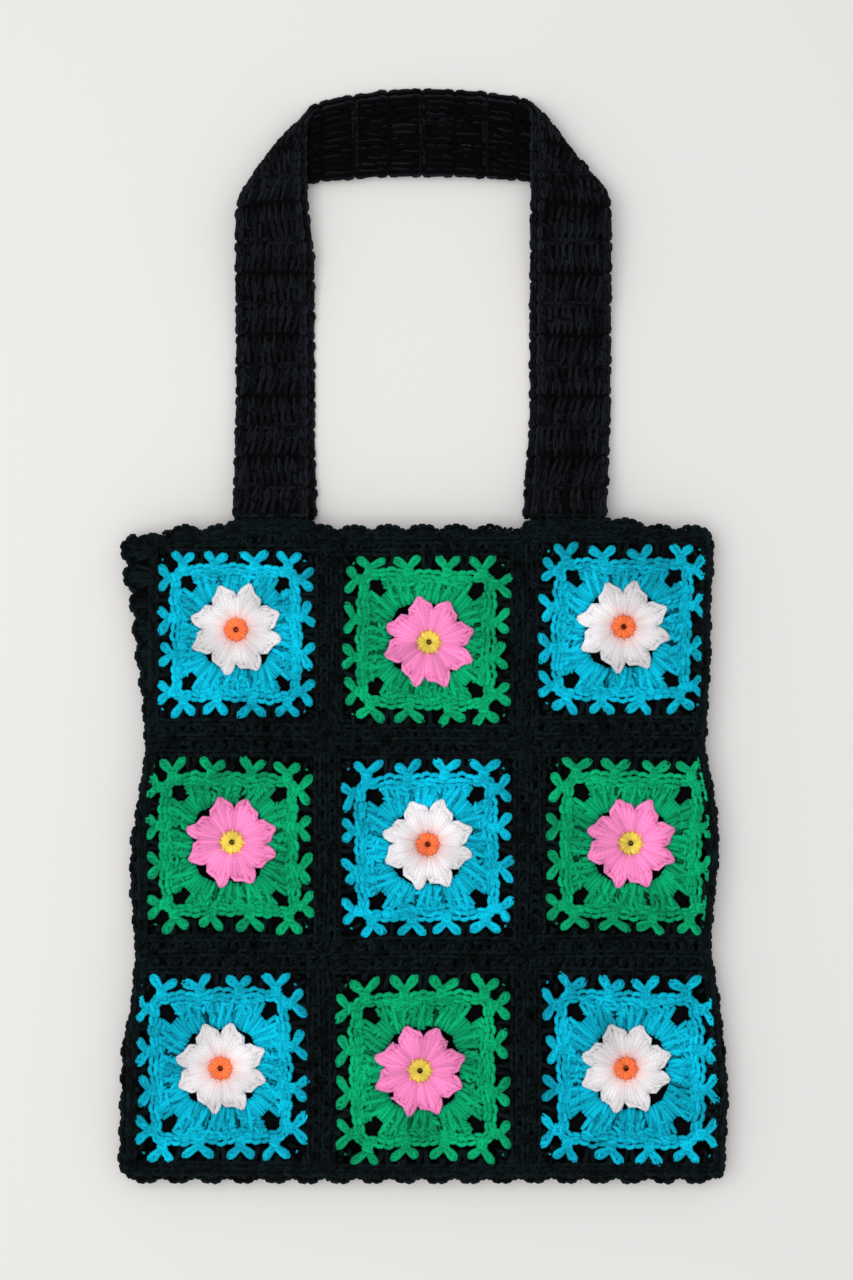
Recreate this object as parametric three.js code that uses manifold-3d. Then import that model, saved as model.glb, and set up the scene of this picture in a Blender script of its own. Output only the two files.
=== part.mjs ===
// A crochet tote bag of granny squares, lying on its back with both straps folded over at the top.
// Millimetres, +Z up. +Y runs from the bottom of the bag to the crown of the straps.
// The origin is on the surface it lies on, under the middle of the bag and straps together.
import * as THREE from "three";
import { mergeVertices } from "three/addons/utils/BufferGeometryUtils.js";
import Module from "manifold-3d";

// Granny squares
const SQUARE = 97; // side over the tips of the V stitches, before a row stretches it
const COLUMN_GAP = 17.2; // black join between two squares of a row
const ROW_GAP = 23.1; // black join between two rows
const MOUTH_BAND = 15.4; // black band above the top row
const BOTTOM_BAND = 8; // black band below the bottom row
const STITCHES = 4; // V stitches on each side of a square
const STITCH_PITCH = 21.8; // from one V stitch to the next
const STITCH_DEPTH = 10.5; // height of a V stitch
const STITCH_SPREAD = 15; // width of a V stitch over its two arms
const CORNER_HOLE = 7.5; // side of the opening in each corner
const CORNER_HOLE_PLACE = 28.3; // from the middle of the square to that opening, along each side
const CORNER_HOLE_TURN = 0.27; // radians that each opening is turned more than the one before
const SQUARE_EYE = 16.5; // radius of the opening that the flower covers

// Flowers
const PETALS = 8;
const PETAL_TIP = 27; // radius over the petal tips
const PETAL_SHOULDER = 24; // radius of the rounded flank of a petal
const PETAL_VALLEY = 20; // radius between two petals
const CENTRE_RADIUS = 7; // radius of the eye in the middle

// Thicknesses and the clearances between layers
const KNIT = 3.2; // a crochet panel
const FLOWER = 2.4; // a flower
const FLOWER_SEAT = 0.4; // between a flower and its square
const LINING = 1; // the lining cloth
const LINING_SEAT = 0.4; // between the lining and each panel
const CAVITY = 4.8; // room inside the lining
const SIDE_BULGE = 1.2; // how far the front swells from its sides to its middle
const END_BULGE = 0.8; // how far it swells from its mouth and bottom to its middle
const GAP = 0.35; // between pieces that meet edge to edge

// Rims
const NET_RIM = 1.6; // narrowest black rim beside the outer squares
const SIDE_EDGING = 6; // usual width of the edging at the sides
const BOTTOM_EDGING = 4.2; // width of the edging along the bottom
const SEAM = 2.4; // thickness of the edging where front and back meet
const SCALLOP = 22; // length of one scallop of the edging
const SCALLOP_RISE = 1.8; // how far it swells
const MOUTH_SCALLOP = 19.4; // length of one scallop along the mouth
const MOUTH_SCALLOP_RISE = 3;
const MOUTH_SAG = 3; // how far the mouth sags between the straps

// Lining
const LINING_DROP = 6; // from the mouth down to the lining's top edge
const LINING_MARGIN = 3; // from the outer stitch tips in to the lining's side seams

// Straps
const STRAP_WIDTH = 43;
const STRAP = 3.4; // thickness of a strap
const STRAP_SPAN = 169; // between the middles of the front strap's two legs
const STRAP_RISE = 244; // from the mouth to the upper rim of the crown
const STRAP_INSET = 4.5; // how far the back strap's legs lie inside the front strap's
const STRAP_SEAT = 0.4; // between the two straps
const FOLD_RADIUS = 2.8; // radius of the back strap's middle where it folds over
const FOLD_STEPS = 4; // facets of the fold
const FOLD_RUN = 2; // flat stretch before and after the fold
const CROWN_ARC = 10; // how far the crown rises from its corners to its middle
const CROWN_STEPS = 4; // stretches in half a crown
const FLOOR_SEAT = 0.3; // between a strap and the surface

const finish = (color) => new THREE.MeshStandardMaterial({ color, roughness: 0.92, metalness: 0 });
const YARN = {
  black: 0x0c1112,
  blue: 0x00a9c7,
  green: 0x00975f,
  white: 0xece6e8,
  pink: 0xfa6fb0,
  orange: 0xff6a2c,
  yellow: 0xdccf3c,
};

// The two kinds of square, which take turns like the fields of a chessboard.
const KINDS = [
  { square: YARN.blue, flower: YARN.white, eye: YARN.orange },
  { square: YARN.green, flower: YARN.pink, eye: YARN.yellow },
];

// Rows of squares from the mouth down: width and height are shares of SQUARE, shift of COLUMN_GAP.
const ROWS = [
  { width: 0.966, height: 0.988, shift: 0.28 },
  { width: 0.995, height: 1.044, shift: 0.31 },
  { width: 1.019, height: 1.101, shift: 0.09 },
];

// Columns from left to right: sag is how far a square of the top row lies off it, in ROW_GAPs.
const COLUMNS = [
  { sag: 0.07 },
  { sag: -0.21 },
  { sag: 0.14 },
];

// Widths of the side edging from the mouth down, as shares of SIDE_EDGING. Each line is the top,
// the middle or the bottom of a row of squares, or the mouth or the hem.
const SIDES = [
  { row: 0, line: "mouth", left: 2.7, right: 0.75 },
  { row: 0, line: "top", left: 2.9, right: 0.6 },
  { row: 0, line: "middle", left: 1.9, right: 0.55 },
  { row: 0, line: "bottom", left: 0.8, right: 0.4 },
  { row: 1, line: "top", left: 0.6, right: 0.45 },
  { row: 1, line: "middle", left: 1.15, right: 0.7 },
  { row: 1, line: "bottom", left: 0.9, right: 0.4 },
  { row: 2, line: "top", left: 0.5, right: 0.45 },
  { row: 2, line: "middle", left: 0.9, right: 1 },
  { row: 2, line: "bottom", left: 1.6, right: 0.9 },
  { row: 2, line: "hem", left: 1.5, right: 0.7 },
];

// Height of a strap's leg on its way from the mouth to the fold. along is a share of the way, the
// others are the shares of its height at the mouth, on the surface and at the fold.
const LEG = [
  { along: 0, mouth: 1, floor: 0, fold: 0 },
  { along: 0.08, mouth: 0.72, floor: 0.28, fold: 0 },
  { along: 0.18, mouth: 0.25, floor: 0.75, fold: 0 },
  { along: 0.3, mouth: 0, floor: 1, fold: 0 },
  { along: 0.58, mouth: 0, floor: 1, fold: 0 },
  { along: 0.72, mouth: 0, floor: 0.68, fold: 0.32 },
  { along: 0.88, mouth: 0, floor: 0.15, fold: 0.85 },
  { along: 1, mouth: 0, floor: 0, fold: 1 },
];

// Levels of the layers
const backBottom = FLOWER + FLOWER_SEAT;
const backTop = backBottom + KNIT;
const pocketBottom = backTop + LINING_SEAT;
const pocketTop = pocketBottom + 2 * LINING + CAVITY;
const frontBottom = pocketTop + LINING_SEAT;
const seamLevel = (backBottom + frontBottom + KNIT) / 2;

// Places along Y
const rowHeights = ROWS.map((row) => row.height * SQUARE);
const squaresHeight = rowHeights.reduce((sum, height) => sum + height, 0) + 2 * ROW_GAP;
const bodyHeight = MOUTH_BAND + squaresHeight + BOTTOM_BAND + GAP + BOTTOM_EDGING + SCALLOP_RISE;
const mouthY = (bodyHeight - STRAP_RISE) / 2;
const hemY = mouthY - MOUTH_BAND - squaresHeight - BOTTOM_BAND;

// Closed solids from rings of points. Each cap is a list of triangles of ring points.
function loft(rings, cap) {
  const vertices = [];
  const add = (...corners) => corners.forEach((corner) => vertices.push(corner.x, corner.y, corner.z));
  for (let i = 0; i + 1 < rings.length; i++) {
    rings[i].forEach((corner, k) => {
      const next = (k + 1) % rings[i].length;
      add(corner, rings[i][next], rings[i + 1][next]);
      add(corner, rings[i + 1][next], rings[i + 1][k]);
    });
  }
  for (const [a, b, c] of cap) {
    add(rings[0][c], rings[0][b], rings[0][a]);
    add(rings.at(-1)[a], rings.at(-1)[b], rings.at(-1)[c]);
  }
  const geometry = new THREE.BufferGeometry();
  geometry.setAttribute("position", new THREE.Float32BufferAttribute(vertices, 3));
  geometry.computeVertexNormals();
  return geometry;
}

// A closed sheet of the given thickness over flat cells, each a ring of points of its underside.
// An edge that only one cell has becomes a wall.
function sheet(cells, thickness) {
  const name = (point) => `${point.x.toFixed(3)} ${point.y.toFixed(3)}`;
  const edges = new Set();
  const vertices = [];
  const add = (point, lift) => vertices.push(point.x, point.y, point.z + lift);
  const eachEdge = (cell, use) => cell.forEach((point, i) => use(point, cell[(i + 1) % cell.length]));
  for (const cell of cells) eachEdge(cell, (a, b) => edges.add(`${name(a)} to ${name(b)}`));
  for (const cell of cells) {
    const flat = cell.map((point) => new THREE.Vector2(point.x, point.y));
    for (const [a, b, c] of THREE.ShapeUtils.triangulateShape(flat, [])) {
      [a, b, c].forEach((i) => add(cell[i], thickness));
      [c, b, a].forEach((i) => add(cell[i], 0));
    }
    eachEdge(cell, (a, b) => {
      if (edges.has(`${name(b)} to ${name(a)}`)) return;
      add(a, 0);
      add(b, 0);
      add(b, thickness);
      add(a, 0);
      add(b, thickness);
      add(a, thickness);
    });
  }
  const geometry = new THREE.BufferGeometry();
  geometry.setAttribute("position", new THREE.Float32BufferAttribute(vertices, 3));
  geometry.computeVertexNormals();
  return geometry;
}

// A flat shape with holes, moved point by point to where place(x, y, share of its height) says.
function cutOut(outline, holes, place) {
  const shape = new THREE.Shape(outline);
  shape.holes = holes.map((hole) => new THREE.Path(hole));
  const geometry = new THREE.ExtrudeGeometry(shape, { depth: 1, bevelEnabled: false });
  const position = geometry.attributes.position;
  for (let i = 0; i < position.count; i++) {
    const point = place(position.getX(i), position.getY(i), position.getZ(i));
    position.setXYZ(i, point.x, point.y, point.z);
  }
  geometry.computeVertexNormals();
  return geometry;
}

function ringOfPoints(count, radius, middle = new THREE.Vector2(), turn = 0) {
  return Array.from({ length: count }, (_, i) => {
    const angle = turn + (2 * Math.PI * i) / count;
    return new THREE.Vector2(radius * Math.cos(angle), radius * Math.sin(angle)).add(middle);
  });
}

// How far the front lies above frontBottom at a column edge and at a row edge.
const sideSwell = (column, edge) => (column === 1 || edge === 1 - column ? SIDE_BULGE : 0);
const endSwell = (row, edge) => (row === 1 || edge === row - 1 ? END_BULGE : 0);

// The middle and size of a square.
function squareAt(row, column) {
  const width = ROWS[row].width * SQUARE;
  const height = rowHeights[row];
  const above = rowHeights.slice(0, row).reduce((sum, h) => sum + h, 0) + row * ROW_GAP;
  const sag = row === 0 ? COLUMNS[column].sag * ROW_GAP : 0;
  const x = (column - 1) * (width + COLUMN_GAP) + ROWS[row].shift * COLUMN_GAP;
  const y = mouthY - MOUTH_BAND - above - height / 2 + sag;
  return { x, y, width, height };
}

// Puts a point of an unstretched square on its panel. level is its height over the panel's underside.
function onPanel(panel, row, column, u, v, level, stretch = true) {
  const square = squareAt(row, column);
  const across = (stretch ? square.width / SQUARE : 1) * u;
  const up = (stretch ? square.height / SQUARE : 1) * v;
  const bottom = panel === "front" ? frontBottom : backBottom;
  const between = (low, high, share) => low + (high - low) * share;
  const side = between(sideSwell(column, -1), sideSwell(column, 1), across / square.width + 0.5);
  const end = between(endSwell(row, -1), endSwell(row, 1), up / square.height + 0.5);
  const swell = panel === "front" ? side + end : 0;
  return new THREE.Vector3(square.x + across, square.y + up, bottom + swell + level);
}

// A square's outline: V stitches on each side, and a valley between every two of them.
function squareOutline() {
  const tip = SQUARE / 2;
  const body = tip - STITCH_DEPTH;
  const outline = [];
  for (let side = 0; side < 4; side++) {
    const turn = (side * Math.PI) / 2;
    const add = (x, y) => outline.push(new THREE.Vector2(x, y).rotateAround(new THREE.Vector2(), turn));
    add(-body, -body);
    for (let i = 0; i < STITCHES; i++) {
      const middle = (i - (STITCHES - 1) / 2) * STITCH_PITCH;
      add(middle - STITCH_SPREAD / 2, -tip);
      add(middle + STITCH_SPREAD / 2, -tip);
      if (i < STITCHES - 1) add(middle + STITCH_PITCH / 2, -body);
    }
  }
  return outline;
}

function squareGeometry(panel, row, column) {
  const radius = CORNER_HOLE / Math.SQRT2;
  const corners = [0, 1, 2, 3].map((corner) => {
    const place = new THREE.Vector2(CORNER_HOLE_PLACE, CORNER_HOLE_PLACE);
    place.rotateAround(new THREE.Vector2(), (corner * Math.PI) / 2);
    return ringOfPoints(4, radius, place, (corner + 1) * CORNER_HOLE_TURN);
  });
  const holes = [ringOfPoints(PETALS, SQUARE_EYE), ...corners];
  return cutOut(squareOutline(), holes, (x, y, share) =>
    onPanel(panel, row, column, x, y, share * KNIT));
}

// Height of a flower or its eye over the panel's underside: it stands on the outer side.
function flowerLevel(panel, share) {
  const bottom = panel === "front" ? KNIT + FLOWER_SEAT : -FLOWER_SEAT - FLOWER;
  return bottom + share * FLOWER;
}

function flowerGeometry(panel, row, column) {
  const outline = [];
  for (let petal = 0; petal < PETALS; petal++) {
    const step = (2 * Math.PI) / PETALS;
    const add = (radius, share) => {
      const angle = (petal + share) * step;
      outline.push(new THREE.Vector2(radius * Math.cos(angle), radius * Math.sin(angle)));
    };
    add(PETAL_VALLEY, 0);
    add(PETAL_SHOULDER, 0.28);
    add(PETAL_TIP, 0.6);
  }
  return cutOut(outline, [ringOfPoints(PETALS, CENTRE_RADIUS + GAP)], (x, y, share) =>
    onPanel(panel, row, column, x, y, flowerLevel(panel, share), false));
}

function eyeGeometry(panel, row, column) {
  return cutOut(ringOfPoints(PETALS, CENTRE_RADIUS), [], (x, y, share) =>
    onPanel(panel, row, column, x, y, flowerLevel(panel, share), false));
}

// The lines of a net, from the mouth down, and its edges, from left to right. Between a top and a
// bottom line, and a left and a right edge, lies a square.
const NET_LINES = [
  { row: 0, line: "mouth" },
  ...ROWS.flatMap((_, row) => [{ row, line: "top" }, { row, line: "bottom" }]),
  { row: ROWS.length - 1, line: "hem" },
];
const NET_EDGES = [
  { column: 0, edge: -1, rim: NET_RIM },
  ...COLUMNS.flatMap((_, column) => [{ column, edge: -1, rim: 0 }, { column, edge: 1, rim: 0 }]),
  { column: COLUMNS.length - 1, edge: 1, rim: NET_RIM },
];

// The mouth sags between the straps.
function mouthAt(x) {
  const reach = (STRAP_SPAN - STRAP_WIDTH) / 2 - STRAP_INSET;
  const share = Math.min(Math.abs(x) / reach, 1);
  return mouthY - MOUTH_SAG * (1 - share * share);
}

// Where a line and an edge of a net cross, on the net's underside.
function netPoint(panel, { row, line }, { column, edge, rim }) {
  const square = squareAt(row, column);
  const x = square.x + edge * (square.width / 2 + GAP + rim);
  const places = {
    mouth: mouthAt(x),
    top: square.y + square.height / 2 + GAP,
    bottom: square.y - square.height / 2 - GAP,
    hem: hemY,
  };
  const upper = line === "mouth" || line === "top";
  const swell = sideSwell(column, edge) + endSwell(row, upper ? 1 : -1);
  return new THREE.Vector3(x, places[line], panel === "front" ? frontBottom + swell : backBottom);
}

// Points of the scalloped mouth between two of its points. It is plain where a strap grows out of it.
function mouthScallops(from, to) {
  const count = Math.round((to.x - from.x) / MOUTH_SCALLOP);
  const plain = STRAP_WIDTH / 2 + STRAP_INSET + MOUTH_SCALLOP / 2;
  const points = [];
  for (let i = 1; i < 2 * count; i++) {
    const point = from.clone().lerp(to, i / (2 * count));
    const beside = Math.abs(Math.abs(point.x) - STRAP_SPAN / 2);
    const rise = i % 2 === 1 && beside > plain ? MOUTH_SCALLOP_RISE : 0;
    point.y = mouthAt(point.x) + rise;
    points.push(point);
  }
  return points;
}

function netGeometry(panel) {
  const cells = [];
  for (let i = 0; i + 1 < NET_LINES.length; i++) {
    for (let j = 0; j + 1 < NET_EDGES.length; j++) {
      const overSquare = NET_LINES[i].line === "top" && j % 2 === 1;
      if (overSquare) continue;
      const [upper, lower] = [NET_LINES[i], NET_LINES[i + 1]];
      const [left, right] = [NET_EDGES[j], NET_EDGES[j + 1]];
      const topLeft = netPoint(panel, upper, left);
      const topRight = netPoint(panel, upper, right);
      const scallops = i === 0 ? mouthScallops(topLeft, topRight).reverse() : [];
      const bottom = [netPoint(panel, lower, left), netPoint(panel, lower, right)];
      cells.push([...bottom, topRight, ...scallops, topLeft]);
    }
  }
  return sheet(cells, KNIT);
}

// Width of the side edging at a height, from the table.
function sideEdging(side, y) {
  const rows = SIDES.map(({ row, line, ...widths }) => {
    const place = netPoint("front", { row, line: line === "middle" ? "top" : line }, NET_EDGES[0]).y;
    return { place: line === "middle" ? squareAt(row, 0).y : place, width: widths[side] * SIDE_EDGING };
  });
  const below = Math.max(rows.findIndex(({ place }) => place <= y), 1);
  const [high, low] = [rows[below - 1], rows[below]];
  const share = Math.min(Math.max((high.place - y) / (high.place - low.place), 0), 1);
  return high.width + (low.width - high.width) * share;
}

// Points along the outer edge of a net, two for each scallop, with crest telling its high points.
function scalloped(corners) {
  const stations = [];
  for (let i = 0; i + 1 < corners.length; i++) {
    const count = Math.max(Math.round(corners[i].distanceTo(corners[i + 1]) / SCALLOP), 1);
    for (let k = i === 0 ? 0 : 1; k <= 2 * count; k++) {
      stations.push({ point: corners[i].clone().lerp(corners[i + 1], k / (2 * count)), crest: k % 2 });
    }
  }
  return stations;
}

// The edging: a folded band round the sides and the bottom, which joins the two nets at the seam.
function edgingGeometry() {
  const edgePoints = (edge) => NET_LINES.map((line) => netPoint("front", line, edge));
  const left = scalloped(edgePoints(NET_EDGES[0]));
  const right = scalloped(edgePoints(NET_EDGES.at(-1)).reverse());
  const bottom = scalloped(NET_EDGES.map((edge) => netPoint("front", NET_LINES.at(-1), edge)));
  const ring = ({ point, crest }, outward, width) => {
    const place = (distance, z) => {
      return new THREE.Vector3(point.x + outward.x * distance, point.y + outward.y * distance, z);
    };
    const rim = GAP + width + crest * SCALLOP_RISE;
    const crotch = GAP + (width + crest * SCALLOP_RISE) / 2;
    return [
      place(GAP, point.z + KNIT),
      place(rim, seamLevel + SEAM / 2),
      place(rim, seamLevel - SEAM / 2),
      place(GAP, backBottom),
      place(GAP, backTop),
      place(crotch, seamLevel),
      place(GAP, point.z),
    ];
  };
  const sideRing = (side, sign) => (station) =>
    ring(station, new THREE.Vector2(sign, 0), sideEdging(side, station.point.y));
  const downRing = (station) => ring(station, new THREE.Vector2(0, -1), BOTTOM_EDGING);
  const cornerRing = (sign) => (station) => ring(station, new THREE.Vector2(sign, -1), BOTTOM_EDGING);
  const rings = [
    ...left.slice(0, -1).map(sideRing("left", -1)),
    ...left.slice(-1).map(cornerRing(-1)),
    ...bottom.slice(1, -1).map(downRing),
    ...right.slice(0, 1).map(cornerRing(1)),
    ...right.slice(1).map(sideRing("right", 1)),
  ];
  return loft(rings, [[0, 1, 5], [0, 5, 6], [1, 2, 5], [2, 3, 5], [3, 4, 5]]);
}

// A block of the pocket's shape, inset all round by a wall. Its last ring lies at the given height.
function pocketBlock(wall, topY) {
  const levels = [pocketBottom + wall, (pocketBottom + pocketTop) / 2, pocketTop - wall];
  const slope = (pocketTop - pocketBottom) / 2;
  const ring = (row, y) => {
    const [first, last] = [squareAt(row, 0), squareAt(row, COLUMNS.length - 1)];
    const left = first.x - first.width / 2 + LINING_MARGIN + wall;
    const right = last.x + last.width / 2 - LINING_MARGIN - wall;
    const corners = [
      [left + slope, levels[0]],
      [left, levels[1]],
      [left + slope, levels[2]],
      [right - slope, levels[2]],
      [right, levels[1]],
      [right - slope, levels[0]],
    ];
    return corners.map(([x, z]) => new THREE.Vector3(x, y, z));
  };
  const bottomY = squareAt(ROWS.length - 1, 0).y - rowHeights.at(-1) / 2 + LINING_MARGIN + wall;
  const rings = [ring(ROWS.length - 1, bottomY)];
  for (let row = ROWS.length - 1; row > 0; row--) rings.push(ring(row, squareAt(row, 0).y));
  rings.push(ring(0, topY));
  return loft(rings, [[0, 1, 2], [0, 2, 3], [0, 3, 5], [3, 4, 5]]);
}

const wasm = await Module();
wasm.setup();

// Turns a geometry into a manifold solid.
function solidOf(geometry) {
  const bare = geometry.clone();
  bare.deleteAttribute("normal");
  const merged = mergeVertices(bare, 1e-4);
  const mesh = new wasm.Mesh({
    numProp: 3,
    vertProperties: merged.attributes.position.array,
    triVerts: new Uint32Array(merged.index.array),
  });
  return new wasm.Manifold(mesh);
}

// Turns a manifold solid back into a geometry.
function geometryOf(solid) {
  const mesh = solid.getMesh();
  const geometry = new THREE.BufferGeometry();
  geometry.setAttribute("position", new THREE.BufferAttribute(mesh.vertProperties, 3));
  geometry.setIndex(new THREE.BufferAttribute(mesh.triVerts, 1));
  geometry.computeVertexNormals();
  return geometry;
}

// The lining: a flat pocket that is open at the mouth.
function liningGeometry() {
  const top = mouthY - LINING_DROP;
  return geometryOf(solidOf(pocketBlock(0, top)).subtract(solidOf(pocketBlock(LINING, top + LINING))));
}

// The two straps, each on its way from the mouth over the fold to the crown. radius is that of the
// fold, and mouth, floor and crown are the heights of its middle there.
const outerRadius = FOLD_RADIUS + STRAP + STRAP_SEAT;
const lowest = FLOOR_SEAT + STRAP / 2;
const STRAPS = {
  front: {
    inset: 0,
    radius: outerRadius,
    mouth: frontBottom + KNIT / 2,
    floor: lowest + STRAP + STRAP_SEAT,
    crown: lowest,
  },
  back: {
    inset: STRAP_INSET,
    radius: FOLD_RADIUS,
    mouth: backBottom + KNIT / 2,
    floor: lowest,
    crown: lowest + STRAP + STRAP_SEAT,
  },
};

// The crease runs at 45 degrees through this point of the left leg's middle.
const creaseX = -STRAP_SPAN / 2;
const creaseY =
  mouthY + STRAP_RISE - CROWN_ARC - STRAP_WIDTH / 2 - (Math.PI * outerRadius) / Math.SQRT2;

// Half a strap as stations. Each has the places of its outer and inner edge and the direction that
// the strap's outer face looks.
function halfStrap({ inset, radius, mouth, floor, crown }) {
  const half = STRAP_WIDTH / 2;
  const legX = creaseX + inset;
  const legTop = creaseY + inset - half - FOLD_RUN;
  const legBottom = mouthY + GAP;
  const foldLevel = crown + 2 * radius;
  const up = new THREE.Vector3(0, 0, 1);
  const along = new THREE.Vector3(1, 1, 0).normalize();
  const beyond = new THREE.Vector3(-1, 1, 0).normalize();
  const stations = LEG.map((row) => {
    const y = legBottom + (legTop - legBottom) * row.along;
    const z = row.mouth * mouth + row.floor * floor + row.fold * foldLevel;
    const [outer, inner] = [-half, half].map((side) => new THREE.Vector3(legX + side, y, z));
    return { outer, inner, face: up };
  });
  for (let step = 0; step <= FOLD_STEPS; step++) {
    const turn = (Math.PI * step) / FOLD_STEPS;
    const place = (side) =>
      new THREE.Vector3(legX + side, creaseY + inset + side, foldLevel - radius * (1 - Math.cos(turn)))
        .addScaledVector(along, radius * turn)
        .addScaledVector(beyond, radius * Math.sin(turn));
    const face = up.clone().multiplyScalar(Math.cos(turn)).addScaledVector(beyond, Math.sin(turn));
    stations.push({ outer: place(-half), inner: place(half), face });
  }
  const { outer, inner, face } = stations.at(-1);
  const start = inner.x + FOLD_RUN;
  for (let step = 0; step <= CROWN_STEPS; step++) {
    const x = start * (1 - step / CROWN_STEPS);
    const [low, high] = [outer, inner].map((edge) => new THREE.Vector3(x, edge.y, crown));
    stations.push({ outer: low, inner: high, face });
  }
  return stations;
}

// Raises the crown and the fold in an arc, and leaves the legs below them straight.
function arched(point) {
  const reach = (STRAP_SPAN + STRAP_WIDTH) / 2;
  const legShare = (point.y - (creaseY - STRAP_WIDTH)) / (STRAP_WIDTH / 2);
  const share = Math.min(Math.max(legShare, 0), 1);
  const arc = Math.max(1 - (point.x / reach) ** 2, 0);
  return new THREE.Vector3(point.x, point.y + CROWN_ARC * arc * share, point.z);
}

function strapGeometry(strap) {
  const left = halfStrap(strap);
  const mirror = new THREE.Vector3(-1, 1, 1);
  const flipped = ({ outer, inner, face }) => ({
    outer: outer.clone().multiply(mirror),
    inner: inner.clone().multiply(mirror),
    face: face.clone().multiply(mirror),
  });
  const stations = [...left, ...left.slice(0, -1).reverse().map(flipped)];
  const rings = stations.map(({ outer, inner, face }) => {
    const [low, high] = [outer, inner].map(arched);
    const lift = face.clone().multiplyScalar(STRAP / 2);
    return [low.clone().add(lift), high.clone().add(lift), high.sub(lift), low.sub(lift)];
  });
  return loft(rings, [[0, 1, 2], [0, 2, 3]]);
}

const bag = new THREE.Group();
bag.name = "crochet_tote_bag";

function addPiece(name, geometry, color) {
  const piece = new THREE.Mesh(geometry, finish(color));
  piece.name = name;
  bag.add(piece);
}

for (const panel of ["front", "back"]) {
  for (let row = 0; row < ROWS.length; row++) {
    for (let column = 0; column < COLUMNS.length; column++) {
      const kind = KINDS[(row + column) % 2];
      const place = `r${row + 1}c${column + 1}`;
      addPiece(`${panel}_square_${place}`, squareGeometry(panel, row, column), kind.square);
      addPiece(`${panel}_flower_${place}`, flowerGeometry(panel, row, column), kind.flower);
      addPiece(`${panel}_eye_${place}`, eyeGeometry(panel, row, column), kind.eye);
    }
  }
  addPiece(`${panel}_net`, netGeometry(panel), YARN.black);
  addPiece(`${panel}_strap`, strapGeometry(STRAPS[panel]), YARN.black);
}
addPiece("edging", edgingGeometry(), YARN.black);
addPiece("lining", liningGeometry(), YARN.black);

export default bag;
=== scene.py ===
"""A crochet tote bag of granny squares with daisies, modelled strand by strand.

Every piece of yarn is a short tube that is bent along its own path, and each part of the bag is
one mesh of such strands. Lengths inside the stitches are millimetres; meshes are in metres.
"""

import math

import bmesh
import bpy
import numpy as np
from mathutils import Matrix, Vector, noise


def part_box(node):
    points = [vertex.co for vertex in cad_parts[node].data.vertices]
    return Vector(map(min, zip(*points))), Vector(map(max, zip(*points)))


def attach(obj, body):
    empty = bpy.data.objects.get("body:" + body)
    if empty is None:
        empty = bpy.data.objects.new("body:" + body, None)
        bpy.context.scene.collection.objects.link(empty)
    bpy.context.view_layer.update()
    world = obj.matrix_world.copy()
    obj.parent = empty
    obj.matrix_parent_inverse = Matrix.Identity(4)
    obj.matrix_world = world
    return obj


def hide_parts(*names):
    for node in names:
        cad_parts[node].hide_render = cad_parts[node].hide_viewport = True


bl_info = {
    "name": "Crochet Tote Bag",
    "version": (1, 0, 0),
    "blender": (4, 5, 0),
    "location": "View3D > Sidebar > Crochet Bag",
    "description": "Builds a granny square tote bag out of yarn strands",
    "category": "Add Mesh",
}

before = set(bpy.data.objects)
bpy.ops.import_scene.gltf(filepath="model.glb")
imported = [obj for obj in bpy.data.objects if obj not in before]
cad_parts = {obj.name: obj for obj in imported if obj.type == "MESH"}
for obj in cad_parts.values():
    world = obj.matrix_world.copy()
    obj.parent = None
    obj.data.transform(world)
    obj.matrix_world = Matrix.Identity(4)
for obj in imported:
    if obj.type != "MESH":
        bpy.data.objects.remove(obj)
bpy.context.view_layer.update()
MM = 0.001

ROWS = (1, 2, 3)
COLUMNS = (1, 2, 3)
PANELS = ("front", "back")
# sides and most steps of a strand: the back, which the bag lies on, is worked plainer
FINE, PLAIN = (4, 4), (3, 3)

# what a user can change


def length(name, description, default, low=0.0001, high=1.0):
    """A length in metres that a user can change."""
    return bpy.props.FloatProperty(name=name, description=description, default=default, min=low, max=high,
                                   precision=4, subtype="DISTANCE", unit="LENGTH")


def colour(name, description, default):
    """A linear colour that a user can change."""
    return bpy.props.FloatVectorProperty(name=name, description=description, default=default, size=3,
                                         min=0.0, max=1.0, subtype="COLOR")


class YarnSizes(bpy.types.PropertyGroup):
    """Thicknesses of the yarn in each part of the bag"""

    square: length("Square Yarn", "Radius of a strand in the squares", 0.00125)
    flower: length("Flower Yarn", "Radius of a strand in the flowers", 0.0014)
    join: length("Join Yarn", "Radius of a strand in the black joins", 0.0013)
    strap: length("Strap Yarn", "Radius of a strand in the straps", 0.00125)
    ply: length("Ply Pitch", "Length of yarn over which its plies turn once", 0.0065)
    lining: length("Lining Cloth", "Thickness of the lining", 0.0007)
    wrinkle: length("Lining Wrinkles", "Height of the wrinkles in the lining", 0.0008)


class YarnColours(bpy.types.PropertyGroup):
    """Colours of the yarns and of the lining"""

    turquoise: colour("Turquoise", "Yarn of the turquoise squares", (0.0, 0.55, 0.755))
    green: colour("Green", "Yarn of the green squares", (0.0, 0.435, 0.174))
    white: colour("White", "Yarn of the white flowers", (0.83, 0.805, 0.83))
    pink: colour("Pink", "Yarn of the pink flowers", (1.0, 0.285, 0.61))
    orange: colour("Orange", "Eyes of the white flowers", (1.0, 0.215, 0.07))
    yellow: colour("Yellow", "Eyes of the pink flowers", (0.91, 0.70, 0.11))
    black: colour("Black", "Yarn of the joins and the edging", (0.0030, 0.0078, 0.0097))
    strap: colour("Strap Black", "Yarn of the straps", (0.0070, 0.0086, 0.0122))
    lining: colour("Lining", "Cloth of the lining", (0.0022, 0.0032, 0.0036))


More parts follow.
